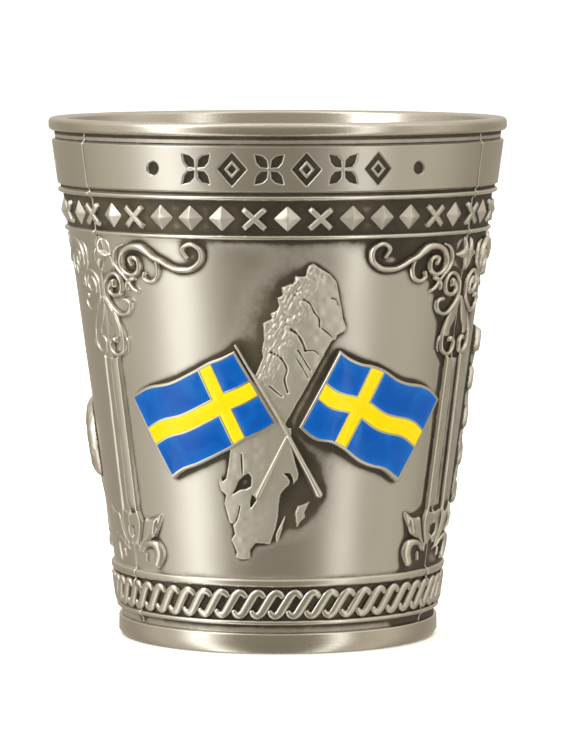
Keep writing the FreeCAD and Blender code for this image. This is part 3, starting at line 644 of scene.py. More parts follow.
# each leg's line from the body down, and its height above the ground
ELK_LEGS = [
    ([(-4.4, 17.6), (-5.2, 14.6), (-4.7, 12.0), (-5.0, 9.7)], 0.36),
    ([(-2.2, 17.4), (-1.6, 14.4), (-2.3, 12.0), (-2.1, 9.9)], 0.28),
    ([(4.4, 18.0), (2.9, 15.0), (3.6, 12.4), (3.1, 9.9)], 0.2),
    ([(6.6, 18.0), (6.0, 15.0), (5.2, 12.6), (5.5, 9.7)], 0.22),
]
ELK_PALMS = [
    [
        (-8.4, 27.0), (-7.6, 29.4), (-4.8, 30.6), (-2.6, 33.4), (-4.4, 32.7), (-4.9, 34.3), (-5.9, 33.0),
        (-6.9, 34.3), (-7.4, 32.6), (-8.6, 33.1), (-8.6, 31.2), (-9.6, 31.0), (-9.2, 29.0),
    ],
    [
        (-9.4, 27.2), (-10.4, 29.2), (-12.8, 29.7), (-14.2, 31.9), (-12.9, 31.7), (-12.4, 33.3),
        (-11.4, 31.9), (-10.6, 33.0), (-10.2, 31.0), (-9.4, 30.2), (-9.0, 28.4),
    ],
]
TUSSOCK = [
    (-9.5, 8.4), (-7.5, 9.8), (-4.0, 9.5), (-1.0, 10.0), (3.0, 9.4), (5.6, 9.8), (7.4, 9.2), (8.2, 8.4),
]
SHIELD = [
    (-5.6, 27.2), (0.0, 26.7), (5.6, 27.2), (5.8, 20.4), (4.6, 16.8), (2.4, 14.3), (0.0, 13.0),
    (-2.4, 14.3), (-4.6, 16.8), (-5.8, 20.4),
]
CROWN = [
    (-4.0, 28.3), (4.0, 28.3), (5.6, 32.4), (3.4, 30.9), (2.6, 33.2), (1.2, 31.2), (0.0, 34.6),
    (-1.2, 31.2), (-2.6, 33.2), (-3.4, 30.9), (-5.6, 32.4),
]
MANTLE = [
    (-6.4, 27.6), (-8.0, 29.4), (-9.8, 29.8), (-10.3, 27.6), (-9.7, 25.4), (-10.2, 22.6), (-9.6, 20.6),
    (-10.0, 18.4), (-9.3, 16.0), (-9.2, 13.6), (-7.8, 12.7), (-6.3, 13.2), (-5.9, 15.0), (-6.2, 18.0),
    (-6.6, 22.0),
]
MANTLE_LEAF = [
    (-6.5, 22.4), (-7.1, 25.6), (-8.4, 28.2), (-9.8, 29.1), (-10.3, 28.1), (-9.5, 27.4), (-8.9, 27.9),
]
LEAF_DROP = 3.7
LEAF_COUNT = 5


def fur(u, z):
    return 0.07 * cloud(u * 2.4 + z * 0.7, z, 0.55, 21) + 0.05 * cloud(u, z, 1.5, 22)


def add_elk(patch):
    """A standing elk on a grassy tussock, modelled in layers."""
    for points, rise in ELK_LEGS:
        patch.ridge(points, [2.2, 1.3, 0.95, 1.05], rise * 1.6)
    patch.slab(ELK_BODY, 0.62, edge=0.9, dome=0.5, closed_curve=True, rough=fur)
    patch.slab(ELK_HEAD, 0.55, edge=0.6, dome=0.34, closed_curve=True, rough=fur)
    patch.ridge([(-8.2, 21.6), (-8.6, 20.6), (-8.4, 19.8)], [0.7, 0.6, 0.2], 0.4)
    patch.ridge([(-7.6, 26.4), (-6.4, 27.4), (-5.4, 27.5)], [0.5, 0.8, 0.2], 0.62)
    for palm in ELK_PALMS:
        patch.slab(palm, 0.42, edge=0.3, dome=0.12)
    patch.groove([(-10.2, 25.2), (-9.8, 25.4)], 0.2, 0.22)
    patch.groove([(-13.6, 23.4), (-13.2, 23.6)], 0.14, 0.18)
    patch.groove([(-5.6, 17.6), (-4.2, 19.6), (-4.0, 22.0)], 0.4, 0.16)
    patch.groove([(4.8, 16.4), (5.4, 18.8), (6.8, 20.4)], 0.4, 0.16)
    patch.slab(TUSSOCK, 0.34, edge=0.5, closed_curve=True, rough=fur)
    for index in range(11):
        foot = -8.6 + index * 1.5
        tip = (foot + 0.35 * math.sin(index * 2.3), 10.4 + 0.4 * math.cos(index * 1.7))
        patch.ridge([(foot, 9.2), tip], [0.34, 0.1], 0.4, steps=2)


def add_arms(patch):
    """A plain crowned shield between two curled mantles."""
    for side in (1, -1):
        mantle = [(side * across, height) for across, height in MANTLE]
        patch.slab(mantle, 0.46, edge=0.5, dome=0.2, closed_curve=True, rough=fur)
        for index in range(LEAF_COUNT):
            shift = 0.12 * index * index
            drop = LEAF_DROP * index
            leaf = [(side * (across + shift), height - drop) for across, height in MANTLE_LEAF]
            patch.ridge(leaf, [0.3, 1.2, 1.5, 1.2, 0.8, 0.7, 0.5], 0.74 if index == 0 else 0.56)
            patch.groove(leaf[:4], 0.16, 0.12)
    patch.slab(SHIELD, 0.62, edge=0.3)
    inner = [(across * 0.86, 20.4 + (height - 20.4) * 0.87) for across, height in SHIELD]
    patch.cut(inner, 0.2)
    patch.ridge([(0.0, 26.0), (0.0, 14.2)], [0.5, 0.5], 0.62, steps=2)
    patch.ridge([(-4.9, 21.6), (4.9, 21.6)], [0.5, 0.5], 0.62, steps=2)
    for across, height in ((-2.6, 24.0), (2.6, 24.0), (-2.3, 18.9), (2.3, 18.9)):
        for spoke in range(3):
            angle = math.pi * spoke / 3 + math.pi / 6
            reach = (0.95 * math.cos(angle), 0.95 * math.sin(angle))
            line = [(across - reach[0], height - reach[1]), (across + reach[0], height + reach[1])]
            patch.ridge(line, [0.3, 0.5, 0.3], 0.6, steps=2)
    patch.slab(CROWN, 0.6, edge=0.3, dome=0.2)
    patch.ridge([(-4.1, 28.5), (0.0, 28.1), (4.1, 28.5)], [0.8, 0.8, 0.8], 0.8)
    for across, height in ((0.0, 34.9), (-5.7, 32.7), (5.7, 32.7), (-2.6, 33.5), (2.6, 33.5)):
        patch.ridge([(across, height), (across, height + 0.05)], [0.75, 0.75], 0.7, steps=1)
    for across in (-2.4, -0.8, 0.8, 2.4):
        patch.ridge([(across, 29.6), (across, 29.7)], [0.6, 0.6], 0.85, steps=1)


# ---------------------------------------------------------------- node trees


def set_inputs(tree, node, inputs):
    """Join a node's inputs to sockets, or set them to plain values."""
    for name, value in inputs.items():
        if isinstance(value, bpy.types.NodeSocket):
            tree.links.new(value, node.inputs[name])
        else:
            node.inputs[name].default_value = value


def add_node(tree, kind, inputs=None, **settings):
    """A node with its settings and its inputs."""
    node = tree.nodes.new(kind)
    for name, value in settings.items():
        setattr(node, name, value)
    set_inputs(tree, node, inputs or {})
    return node


def arithmetic(tree, operation, *values):
    node = add_node(tree, "ShaderNodeMath", dict(enumerate(values)), operation=operation)
    return node.outputs[0]


def product(tree, first, second):
    return arithmetic(tree, "MULTIPLY", first, second)


def plus_product(tree, first, second, base):
    """The product of the first two, added to the third."""
    return arithmetic(tree, "MULTIPLY_ADD", first, second, base)


def turn_round_axis(tree, place):
    """The turn from the front of a place, and its parts."""
    split = add_node(tree, "ShaderNodeSeparateXYZ", {"Vector": place}).outputs
    return arithmetic(tree, "ARCTAN2", split["X"], product(tree, split["Y"], -1.0)), split


def noise(tree, place, scale, detail, roughness=0.5, distortion=0.0):
    inputs = {"Vector": place, "Scale": scale, "Detail": detail, "Roughness": roughness}
    inputs["Distortion"] = distortion
    return add_node(tree, "ShaderNodeTexNoise", inputs).outputs["Fac"]


def remap(tree, value, low, high, top=1.0, kind="LINEAR"):
    """0 below low, top above high, and even or smooth between."""
    inputs = {"Value": value, "From Min": low, "From Max": high, "To Max": top}
    return add_node(tree, "ShaderNodeMapRange", inputs, interpolation_type=kind).outputs["Result"]


def bumps(tree, height, strength, distance):
    inputs = {"Height": height, "Strength": strength, "Distance": distance}
    return add_node(tree, "ShaderNodeBump", inputs).outputs["Normal"]


def object_place(tree):
    return add_node(tree, "ShaderNodeTexCoord").outputs["Object"]


def new_group(name, kind, inputs, outputs):
    """An empty node group with typed, named sockets and default values."""
    tree = bpy.data.node_groups.new(name, kind)
    for label, data, default in inputs:
        socket = tree.interface.new_socket(label, in_out="INPUT", socket_type="NodeSocket" + data)
        if default is not None:
            socket.default_value = default
    for label, data in outputs:
        tree.interface.new_socket(label, in_out="OUTPUT", socket_type="NodeSocket" + data)
    return tree, tree.nodes.new("NodeGroupInput").outputs, tree.nodes.new("NodeGroupOutput")


def use_group(tree, group, **inputs):
    node = add_node(tree, "ShaderNodeGroup", node_tree=group)
    set_inputs(tree, node, {label.replace("_", " "): value for label, value in inputs.items()})
    return node.outputs


def satin_group():
    """Fine turned or brushed marks and a soft cloudiness, from coordinates in metres."""
    group, given, result = new_group(
        "satin_metal", "ShaderNodeTree",
        [("Round", "Float", 0.0), ("Scratch", "Float", 0.5), ("Grain", "Float", 0.5)],
        [("Marks", "Float"), ("Cloud", "Float")],
    )
    place = object_place(group)
    split = add_node(group, "ShaderNodeSeparateXYZ", {"Vector": place}).outputs
    around = product(group, arithmetic(group, "ARCTAN2", split["Y"], split["X"]), 0.02)
    stretched = []
    for across, along in ((40.0, 8.0), (5.0, 60.0)):
        parts = {"X": product(group, around, across), "Y": product(group, split["Z"], along)}
        stretched.append(add_node(group, "ShaderNodeCombineXYZ", parts).outputs[0])
    ways = {0: given["Round"], 4: stretched[0], 5: stretched[1]}
    way = add_node(group, "ShaderNodeMix", ways, data_type="VECTOR").outputs[1]
    lines = product(group, noise(group, way, 90.0, 4.0, 0.7), given["Scratch"])
    grain = product(group, noise(group, place, 5200.0, 3.0, 0.6), given["Grain"])
    set_inputs(group, result, {
        "Marks": arithmetic(group, "ADD", lines, grain),
        "Cloud": noise(group, place, 130.0, 4.0, 0.55),
    })
    return group


def patina_group():
    """How dark the antique finish is: deep recesses, soft halos round relief, cloudy edges."""
    group, given, result = new_group(
        "antique_patina", "ShaderNodeTree",
        [("Recess", "Float", 0.0), ("Hollow", "Float", 0.0), ("Shade", "Float", 0.0),
         ("Recess gain", "Float", 5.0), ("Hollow gain", "Float", 5.0), ("Overall", "Float", 0.0)],
        [("Dark", "Float"), ("Worn", "Float")],
    )
    place = object_place(group)
    total = product(group, given["Recess"], given["Recess gain"])
    total = plus_product(group, given["Hollow"], given["Hollow gain"], total)
    for part in ("Shade", "Overall"):
        total = arithmetic(group, "ADD", total, given[part])
    for scale, detail, roughness, share in ((900.0, 6.0, 0.7, 0.4), (95.0, 4.0, 0.6, 0.14)):
        uneven = arithmetic(group, "SUBTRACT", noise(group, place, scale, detail, roughness), 0.5)
        total = plus_product(group, uneven, share, total)
    set_inputs(group, result, {
        "Dark": remap(group, total, 0.05, 1.0, kind="SMOOTHSTEP"),
        "Worn": remap(group, product(group, given["Recess"], -5.0), 0.1, 1.0),
    })
    return group


SATIN = satin_group()
PATINA = patina_group()


def new_material(name):
    material = bpy.data.materials.new(name)
    material.use_nodes = True
    tree = material.node_tree
    return material, tree, tree.nodes["Principled BSDF"]


def read_attribute(tree, name):
    return add_node(tree, "ShaderNodeAttribute", attribute_name=name).outputs["Fac"]


def blend_colour(tree, factor, first, second):
    node = add_node(tree, "ShaderNodeMix", {0: factor, 6: first, 7: second}, data_type="RGBA")
    return node.outputs[2]


BRIGHT_PEWTER = (0.63, 0.6, 0.53, 1)
WORN_PEWTER = (0.76, 0.72, 0.63, 1)
SANDY_PEWTER = (0.74, 0.71, 0.63, 1)
STUD_PEWTER = (0.7, 0.67, 0.6, 1)
TURNED_PEWTER = (0.68, 0.64, 0.56, 1)
TURNED_STREAK = (0.5, 0.46, 0.38, 1)
PATINA_BROWN = (0.04, 0.031, 0.018, 1)
PATINA_OLIVE = (0.17, 0.14, 0.085, 1)


def pewter_material(name, recess_gain, hollow_gain, overall, rough, bright=BRIGHT_PEWTER):
    """Antique cast pewter: satin on the high metal, brown-black where polish can't reach."""
    material, tree, surface = new_material(name)
    marks = use_group(tree, SATIN, Round=0.0, Scratch=0.6, Grain=0.5)
    patina = use_group(
        tree, PATINA, Recess=read_attribute(tree, "recess"), Hollow=read_attribute(tree, "hollow"),
        Shade=read_attribute(tree, "shade"), Recess_gain=recess_gain, Hollow_gain=hollow_gain,
        Overall=overall,
    )
    depth = product(tree, patina["Dark"], plus_product(tree, marks["Cloud"], -1.4, 1.6))
    aged = blend_colour(tree, depth, PATINA_OLIVE, PATINA_BROWN)
    metal = blend_colour(tree, patina["Worn"], bright, WORN_PEWTER)
    polish = plus_product(tree, marks["Cloud"], 0.12, rough - 0.06)
    polish = plus_product(tree, patina["Dark"], 0.22, polish)
    set_inputs(tree, surface, {
        "Base Color": blend_colour(tree, remap(tree, patina["Dark"], 0.0, 0.8), metal, aged),
        "Metallic": plus_product(tree, patina["Dark"], -0.55, 1.0),
        "Roughness": plus_product(tree, patina["Worn"], -0.06, polish),
        "Normal": bumps(tree, marks["Marks"], 0.25, 0.00002),
    })
    return material


def turned_material():
    """The cup itself: satin metal with fine marks left by turning."""
    material, tree, surface = new_material("turned_pewter")
    marks = use_group(tree, SATIN, Round=1.0, Scratch=0.9, Grain=0.06)["Marks"]
    patina = use_group(
        tree, PATINA, Recess=read_attribute(tree, "recess"), Hollow=0.0, Shade=0.0,
        Recess_gain=6.0, Hollow_gain=0.0, Overall=-0.1,
    )
    colour = blend_colour(tree, patina["Dark"], TURNED_PEWTER, PATINA_BROWN)
    streak = remap(tree, marks, 0.3, 0.9, 0.35)
    set_inputs(tree, surface, {
        "Base Color": blend_colour(tree, streak, colour, TURNED_STREAK),
        "Metallic": 1.0,
        "Roughness": plus_product(tree, marks, 0.16, 0.18),
        "Normal": bumps(tree, marks, 0.35, 0.00003),
    })
    return material


def enamel_material(name, deep, thin_and_sheen):
    """Glossy soft enamel, thinner and paler near the walls of its cell, with lighter cloudy patches of
    painted reflection.
    """
    material, tree, surface = new_material(name)
    place = object_place(tree)
    clouds = noise(tree, place, 420.0, 3.0, distortion=0.8)
    rim = product(tree, read_attribute(tree, "rim"), 0.5)
    # lighter cloudy patches here are painted reflection; the paler rim is the thinner enamel near the walls
    rim_paleness_and_sheen = arithmetic(tree, "ADD", plus_product(tree, clouds, 0.9, -0.28), rim)
    wave = plus_product(tree, noise(tree, place, 2600.0, 2.0), 0.15, clouds)
    set_inputs(tree, surface, {
        "Base Color": blend_colour(tree, remap(tree, rim_paleness_and_sheen, 0.1, 0.9), deep, thin_and_sheen),
        "Roughness": plus_product(tree, clouds, 0.16, 0.06),
        "Normal": bumps(tree, wave, 0.3, 0.00008),
        "Specular IOR Level": 0.15,
        "Coat Weight": 0.1,
        "Coat Roughness": 0.05,
    })
    return material


# gains of narrow recesses and wide hollows, darkness all over, roughness
cast_pewter = pewter_material("antique_cast_pewter", 4.6, 1.9, -0.08, 0.34)
relief_pewter = pewter_material("antique_relief_pewter", 5.5, 0.5, -0.25, 0.36)
sandy_pewter = pewter_material("matte_relief_pewter", 7.0, 0.2, -0.2, 0.5, SANDY_PEWTER)
stud_pewter = pewter_material("rubbed_stud_pewter", 0.0, 0.0, 0.0, 0.5, STUD_PEWTER)
solder_pewter = pewter_material("solder_pewter", 3.0, 0.0, -0.3, 0.3)
turned_pewter = turned_material()
# each enamel's second colour serves both its thinner rim and its patches of painted reflection
blue_enamel = enamel_material("blue_enamel", (0.0, 0.06, 0.29, 1), (0.005, 0.13, 0.43, 1))
yellow_enamel = enamel_material("yellow_enamel", (0.68, 0.49, 0.0, 1), (0.74, 0.57, 0.004, 1))


# ---------------------------------------------------------------- repeated ornaments


def scatter_tree():
    """Geometry nodes: one copy of a shape at each point, turned to face out from the axis."""
    tree, given, result = new_group(
        "ornaments_round_the_cup", "GeometryNodeTree",
        [("Places", "Geometry", None), ("Shape", "Object", None), ("Size", "Float", 1.0),
         ("Finish", "Material", None)],
        [("Geometry", "Geometry")],
    )
    shape = add_node(tree, "GeometryNodeObjectInfo", {"Object": given["Shape"]})
    turn = turn_round_axis(tree, add_node(tree, "GeometryNodeInputPosition").outputs[0])[0]
    spin = add_node(tree, "ShaderNodeCombineXYZ", {"Z": turn}).outputs[0]
    copies = add_node(tree, "GeometryNodeInstanceOnPoints", {
        "Points": given["Places"],
        "Instance": shape.outputs["Geometry"],
        "Rotation": add_node(tree, "FunctionNodeEulerToRotation", {0: spin}).outputs[0],
        "Scale": given["Size"],
    })
    finish_tree(tree, copies, given, result)
    return tree


def finish_tree(tree, last, given, result):
    """The end of both geometry trees: real geometry in the given finish."""
    real = add_node(tree, "GeometryNodeRealizeInstances", {"Geometry": last.outputs[0]})
    inputs = {"Geometry": real.outputs[0], "Material": given["Finish"]}
    painted = add_node(tree, "GeometryNodeSetMaterial", inputs)
    set_inputs(tree, result, {"Geometry": painted.outputs[0]})


def set_input(modifier, label, value):
    for socket in modifier.node_group.interface.items_tree:
        if socket.item_type == "SOCKET" and socket.in_out == "INPUT" and socket.name == label:
            modifier[socket.identifier] = value


def made_by_nodes(name, source, tree, **inputs):
    """A plain mesh object from running a geometry node tree on a source object."""
    modifier = source.modifiers.new(tree.name, "NODES")
    modifier.node_group = tree
    for label, value in inputs.items():
        set_input(modifier, label, value)
    bpy.context.view_layer.update()
    evaluated = source.evaluated_get(bpy.context.evaluated_depsgraph_get())
    mesh = bpy.data.meshes.new_from_object(evaluated)
    mesh.name = name
    source.modifiers.remove(modifier)
    bpy.data.objects.remove(source)
    return new_object(name, mesh)


def tilted(points, middle):
    """Flat ornament points, across, height and rise, laid on the leaning face of the cone."""
    points = np.asarray(points, float)
    lean = math.atan(CONE_SLOPE)
    across, height, rise = points.T
    radius = cone(middle) + rise * math.cos(lean) + height * math.sin(lean)
    up = middle + height * math.cos(lean) - rise * math.sin(lean)
    return in_space(radius, across / cone(middle), up)


STUD_RINGS = [(1.08, -0.12), (1.0, 0.0), (0.93, 0.08), (0.5, 0.31), (0.1, 0.49), (0.03, 0.51)]
STUD_HALF_WIDTH = 1.27
STUD_HALF_HEIGHT = 1.2


def pointed_stud():
    """A four-sided point with softened edges."""
    rings = []
    for share, rise in STUD_RINGS:
        ring = []
        for corner in range(4):
            for turn in (-0.06, 0.06):
                angle = corner * math.pi / 2 + turn
                across = STUD_HALF_WIDTH * share * math.cos(angle)
                ring.append((across, STUD_HALF_HEIGHT * share * math.sin(angle), rise))
        rings.append(ring)
    return rings_mesh("pointed_stud", rings)


def rings_mesh(name, rings):
    """A closed shape skinned over rings of points, from its sunken rim to its tip."""
    count = len(rings[0])
    points = np.array(rings, float).reshape(-1, 3)
    faces = []
    for level in range(len(rings) - 1):
        for index in range(count):
            after = (index + 1) % count
            low = level * count
            faces.append([low + index, low + after, low + count + after, low + count + index])
    foot = np.arange(count)[::-1]
    tip = len(points) - count + np.arange(count)
    piece = new_mesh(name, tilted(points, 0.0), [np.array(faces), foot[None], tip[None]])
    piece.data.set_sharp_from_angle(angle=math.radians(18))
    paint_by_rise(piece, points)
    return piece


def bar_faces(rows, columns):
    """Faces of a closed bar whose rows of points run over its section, one after another."""
    index = np.arange(rows * columns).reshape(rows, columns)
    first, last = index[:, 0], index[:, -1]
    underside = np.stack([last[:-1], first[:-1], first[1:], last[1:]], axis=-1)
    sides = np.vstack([grid_faces(rows, columns), underside])
    return [sides, index[0, ::-1][None], index[-1][None]]


def paint_by_rise(piece, points):
    """Dark at the foot of an ornament and bare on top."""
    paint_patina(piece, np.clip(0.12 - points[:, 2] * 0.5, -0.12, 0.12))


BAR_LEAN = 0.745
BAR_HALF = 1.5
BAR_ROUNDING = 0.3
BAR_FOOT = -0.12
BAR_SECTION = [
    (-0.29, BAR_FOOT), (-0.24, 0.36), (-0.12, 0.44), (0.0, 0.36), (0.12, 0.44), (0.24, 0.36),
    (0.29, BAR_FOOT),
]


def crossed_stud():
    """Two crossed bars with rounded ends and a shallow channel along each."""
    along = np.linspace(-BAR_HALF, BAR_HALF, 13)
    points = []
    for lean in (BAR_LEAN, -BAR_LEAN):
        for place in along:
            past = max(0.0, abs(place) - BAR_HALF + BAR_ROUNDING) / BAR_ROUNDING
            full = max(0.0, 1 - past ** 2) ** 0.5
            for side, level in BAR_SECTION:
                across = place * math.cos(lean) - side * math.sin(lean)
                height = place * math.sin(lean) + side * math.cos(lean)
                points.append((across, height, level * full + BAR_FOOT * (1 - full)))
    points = np.array(points)
    bar = bar_faces(len(along), len(BAR_SECTION))
    faces = [group[:, ::-1] + first for first in (0, len(points) // 2) for group in bar]
    piece = new_mesh("crossed_stud", tilted(points, 0.0), faces)
    paint_by_rise(piece, points)
    return piece


ROPE_LINK = [
    (-1.5, -0.62), (-1.28, -0.98), (-0.9, -1.12), (-0.58, -0.9), (-0.36, -0.6), (0.36, 0.6), (0.58, 0.9),
    (0.9, 1.12), (1.28, 0.98), (1.5, 0.62),
]
ROPE_WIDTHS = [0.5, 0.66, 0.76, 0.84, 0.9, 0.9, 0.84, 0.76, 0.66, 0.5]
ROPE_SECTION = 9


def rope_link():
    """An S-shaped strand, half round in section."""
    path = smooth_line(ROPE_LINK, steps=3)
    halves = half_widths(path, ROPE_WIDTHS)
    way = np.gradient(path, axis=0)
    way /= np.linalg.norm(way, axis=1)[:, None]
    points = []
    for place, heading, half in zip(path, way, halves):
        for step in range(ROPE_SECTION):
            angle = math.pi * step / (ROPE_SECTION - 1)
            side = -half * math.cos(angle)
            rise = -0.15
            if 0 < step < ROPE_SECTION - 1:
                rise = 0.1 + 0.36 * math.sin(angle) ** 0.7 * min(half / 0.36, 1.0)
            points.append((place[0] - heading[1] * side, place[1] + heading[0] * side, rise))
    points = np.array(points)
    faces = [group[:, ::-1] for group in bar_faces(len(path), ROPE_SECTION)]
    piece = new_mesh("rope_link", tilted(points, 0.0), faces)
    paint_by_rise(piece, points)
    return piece


def ring_of_places(name, turns, height):
    """Loose points at the given turns; the shape itself brings the radius at height 0."""
    turns = np.asarray(turns)
    points = in_space(cone(height) - cone(0.0), turns, np.full(turns.shape, height))
    return loose_points(name, points)


# ---------------------------------------------------------------- the panel castings

# height, and rise of the plain turned shape there
LEVELS = [
    (2.0, 0.0), (39.6, 0.0), (39.7, 0.05), (42.8, 0.05), (43.3, 0.2), (BAND_BOTTOM, 0.2), (43.68, 0.1),
    (48.76, 0.1),
]
# turned beads and the smooth band: bottom, top, crown and reach of the rounded edge
STRIPS = [
    (2.74, 3.27, 0.37, 0.26),
    (6.4, FIELD_BOTTOM, 0.37, 0.3),
    (FIELD_TOP, 39.67, 0.37, 0.23),
    (42.8, 43.35, 0.5, 0.27),
    (BAND_BOTTOM, BAND_TOP, 0.45, 0.16),
]
BODY_TOP = 43.5
# patina left in the turned grooves, and in the top strip right under the rim bead also painted shadow:
# bottom, top and strength
GROOVE_PATINA_AND_SHADOW = [
    (2.0, 2.74, 0.4), (3.27, 6.4, 0.55), (39.67, 42.8, 0.75), (43.35, BAND_BOTTOM, 0.9),
    (BAND_TOP, 48.1, 0.9), (48.1, 48.45, 0.42), (48.45, 48.76, 1.1),
]


def profile(z):
    """Height of the plain turned shape of a panel above the cone."""
    level = np.interp(z, [height for height, _ in LEVELS], [rise for _, rise in LEVELS])
    for low, high, crown, edge in STRIPS:
        deep = np.minimum(z - low, high - z)
        bulge = crown * np.sqrt(np.clip(1 - np.clip(1 - deep / edge, 0, 1) ** 2, 0, 1))
        level = np.where(deep > 0, np.maximum(level, bulge), level)
    return level


def row_heights(low, high, coarse):
    """Heights for a casting's rows, close together where its beads curve."""
    rows = list(np.arange(low, high, coarse)) + [high]
    for bottom, top, _, edge in STRIPS:
        for step in range(8):
            reach = edge * (1 - math.cos(step / 7 * math.pi / 2)) if step else 0.0
            rows += [bottom + reach, top - reach]
        rows += [bottom - 0.02, top + 0.02]
    rows = sorted(row for row in rows if low <= row <= high)
    kept = [rows[0]]
    for row in rows[1:]:
        if row - kept[-1] > 0.012:
            kept.append(row)
    kept[-1] = high
    return np.array(kept)


def groove_patina_and_shadow(z):
    """Patina left in the turned grooves, and painted shadow under the rim bead."""
    total = np.zeros(z.shape)
    for low, high, strength in GROOVE_PATINA_AND_SHADOW:
        total += strength * ease(low - 0.05, low + 0.05, z) * ease(high + 0.05, high - 0.05, z)
    return total


def stud_turn(index):
    return index * 2 * THIRD / STUDS_PER_PANEL


def link_turn(index):
    return index * 2 * THIRD / LINKS_PER_PANEL


def is_crossed(index):
    return index % STUDS_PER_PANEL in (1, 5, 7, 9, 13)


SURVEY_STEP = 0.13
SURVEY_COLUMNS = 300


def survey(side):
    """Everything that stands on a panel, on an even raster, to see where polish can't reach."""
    turns = np.linspace(-PANEL_HALF, PANEL_HALF, SURVEY_COLUMNS)
    whole = Patch(turns, np.arange(2.0, BODY_TOP + 0.2, SURVEY_STEP), SUNK_GROUND)
    MOTIFS[side][1](whole)
    if side == "front":
        add_poles(whole)
        for flag in FLAGS.values():
            whole.slab(flag.outline(), FLAG_RISE, edge=0.1)
    add_border(whole, -1)
    add_border(whole, 1, LEFT_PANEL_WEAR if side == "left" else 1.0)
    half = STUDS_PER_PANEL // 2
    for index in range(-half, half + 1):
        across = stud_turn(index) * cone(STUD_MIDDLE)
        if is_crossed(index):
            for lean in (-1, 1):
                bar = [(across - lean, STUD_MIDDLE - 1.0), (across + lean, STUD_MIDDLE + 1.0)]
                whole.ridge(bar, [0.5, 0.5], 0.4, steps=1)
        else:
            corners = ((-1.2, 0.0), (0.0, -1.15), (1.2, 0.0), (0.0, 1.15))
            whole.slab([(across + x, STUD_MIDDLE + y) for x, y in corners], 0.35, edge=0.6)
    half = LINKS_PER_PANEL // 2
    for index in range(-half, half + 1):
        across = link_turn(index) * cone(ROPE_MIDDLE)
        link = [(across + x, ROPE_MIDDLE + y) for x, y in ROPE_LINK]
        whole.ridge(link, ROPE_WIDTHS, 0.4, steps=2)
    whole.rise = np.maximum(whole.rise, profile(whole.z))
    return whole


def read_raster(values, patch, turn, z):
    """Values of an even raster at any places on it."""
    rows, columns = values.shape
    x = (turn - patch.turn[0, 0]) / (patch.turn[0, 1] - patch.turn[0, 0])
    y = (z - patch.z[0, 0]) / patch.step
    column = np.clip(np.floor(x).astype(int), 0, columns - 2)
    row = np.clip(np.floor(y).astype(int), 0, rows - 2)
    a = np.clip(x - column, 0, 1)
    b = np.clip(y - row, 0, 1)
    low = values[row, column] * (1 - a) + values[row, column + 1] * a
    high = values[row + 1, column] * (1 - a) + values[row + 1, column + 1] * a
    return low * (1 - b) + high * b


def sea_shade(u, z):
    total = np.zeros(u.shape)
    for across, height, reach, strength in SEA_SHADES:
        total += strength * np.exp(-((u - across) ** 2 + (z - height) ** 2) / reach ** 2)
    return total


RIGHT_BORDER_GRIME = 0.75
# how far the grime of the right border reaches from the seam at each height
GRIME_HEIGHTS = [7.0, 12.5, 13.6, 27.0, 28.6, 33.0, 35.0, 36.8, 38.4, 39.3]
GRIME_REACHES = [4.6, 4.0, 2.2, 2.2, 3.6, 4.2, 5.4, 9.0, 12.4, 12.6]
LEFT_RUBBING = 0.35
LEFT_PANEL_RUBBING = 0.72


BODY_WIDE_REACH = 1.0
BODY_COLUMNS = 250
BODY_ROW = 0.16
BAND_COLUMNS = 584
BAND_ROW = 0.075


def make_panel_body(side, whole):
    """One casting from its foot to the groove under the smooth band."""
    turns = np.linspace(-PANEL_HALF, PANEL_HALF, BODY_COLUMNS)
    patch = Patch(turns, row_heights(PANEL_BOTTOM, BODY_TOP, BODY_ROW), 0.0)
    in_field = ease(7.3, 8.0, patch.z) * ease(39.1, 38.5, patch.z)
    patch.rise = profile(patch.z) + 0.012 * cloud(patch.u, patch.z, 3.0, 31) * in_field
    recess, hollow = [
        read_raster(soften(whole.rise, reach / whole.step), whole, patch.turn, patch.z) - patch.rise
        for reach in (NARROW_REACH, BODY_WIDE_REACH)
    ]
    hollow *= ease(7.3, 8.6, patch.z) * ease(39.1, 38.9, patch.z)
    shade = groove_patina_and_shadow(patch.z)
    shade += 0.3 * ease(1.4, 0.1, seam_place(patch.z) - np.abs(patch.u))
    under_ridge = ease(36.8, 39.3, patch.z) * ease(39.6, 39.2, patch.z)
    if side == "front":
        shade += sea_shade(patch.u, patch.z) + 0.4 * under_ridge * ease(-12.0, -5.0, patch.u)
        grimy_reach = np.interp(patch.z, GRIME_HEIGHTS, GRIME_REACHES)
        shade += RIGHT_BORDER_GRIME * ease(0.7, -0.7, seam_place(patch.z) - patch.u - grimy_reach)
        rubbed = 1 - LEFT_RUBBING * ease(-9.0, -15.0, patch.u)
    elif side == "left":
        shade += 0.15 * under_ridge
        rubbed = 1 - LEFT_PANEL_RUBBING * ease(2.0, 9.0, patch.u)
    else:
        shade += 0.4 * under_ridge + 0.5
        rubbed = np.ones(shade.shape)
    recess *= rubbed
    hollow *= rubbed
    name = side + "_panel_casting"
    return sheet_piece(name, patch, PANEL_TURN[side], PANEL_WALL, recess, hollow, shade)


ORNAMENTS = 6
ORNAMENT_PITCH = 3.4
DOT_PLACE = 12.9
DOT_RADIUS = 0.6
ENGRAVING_DEPTH = 0.3


def ring(across, height, radius, count=20):
    angles = [2 * math.pi * index / count for index in range(count)]
    return [(across + radius * math.cos(angle), height + radius * math.sin(angle)) for angle in angles]


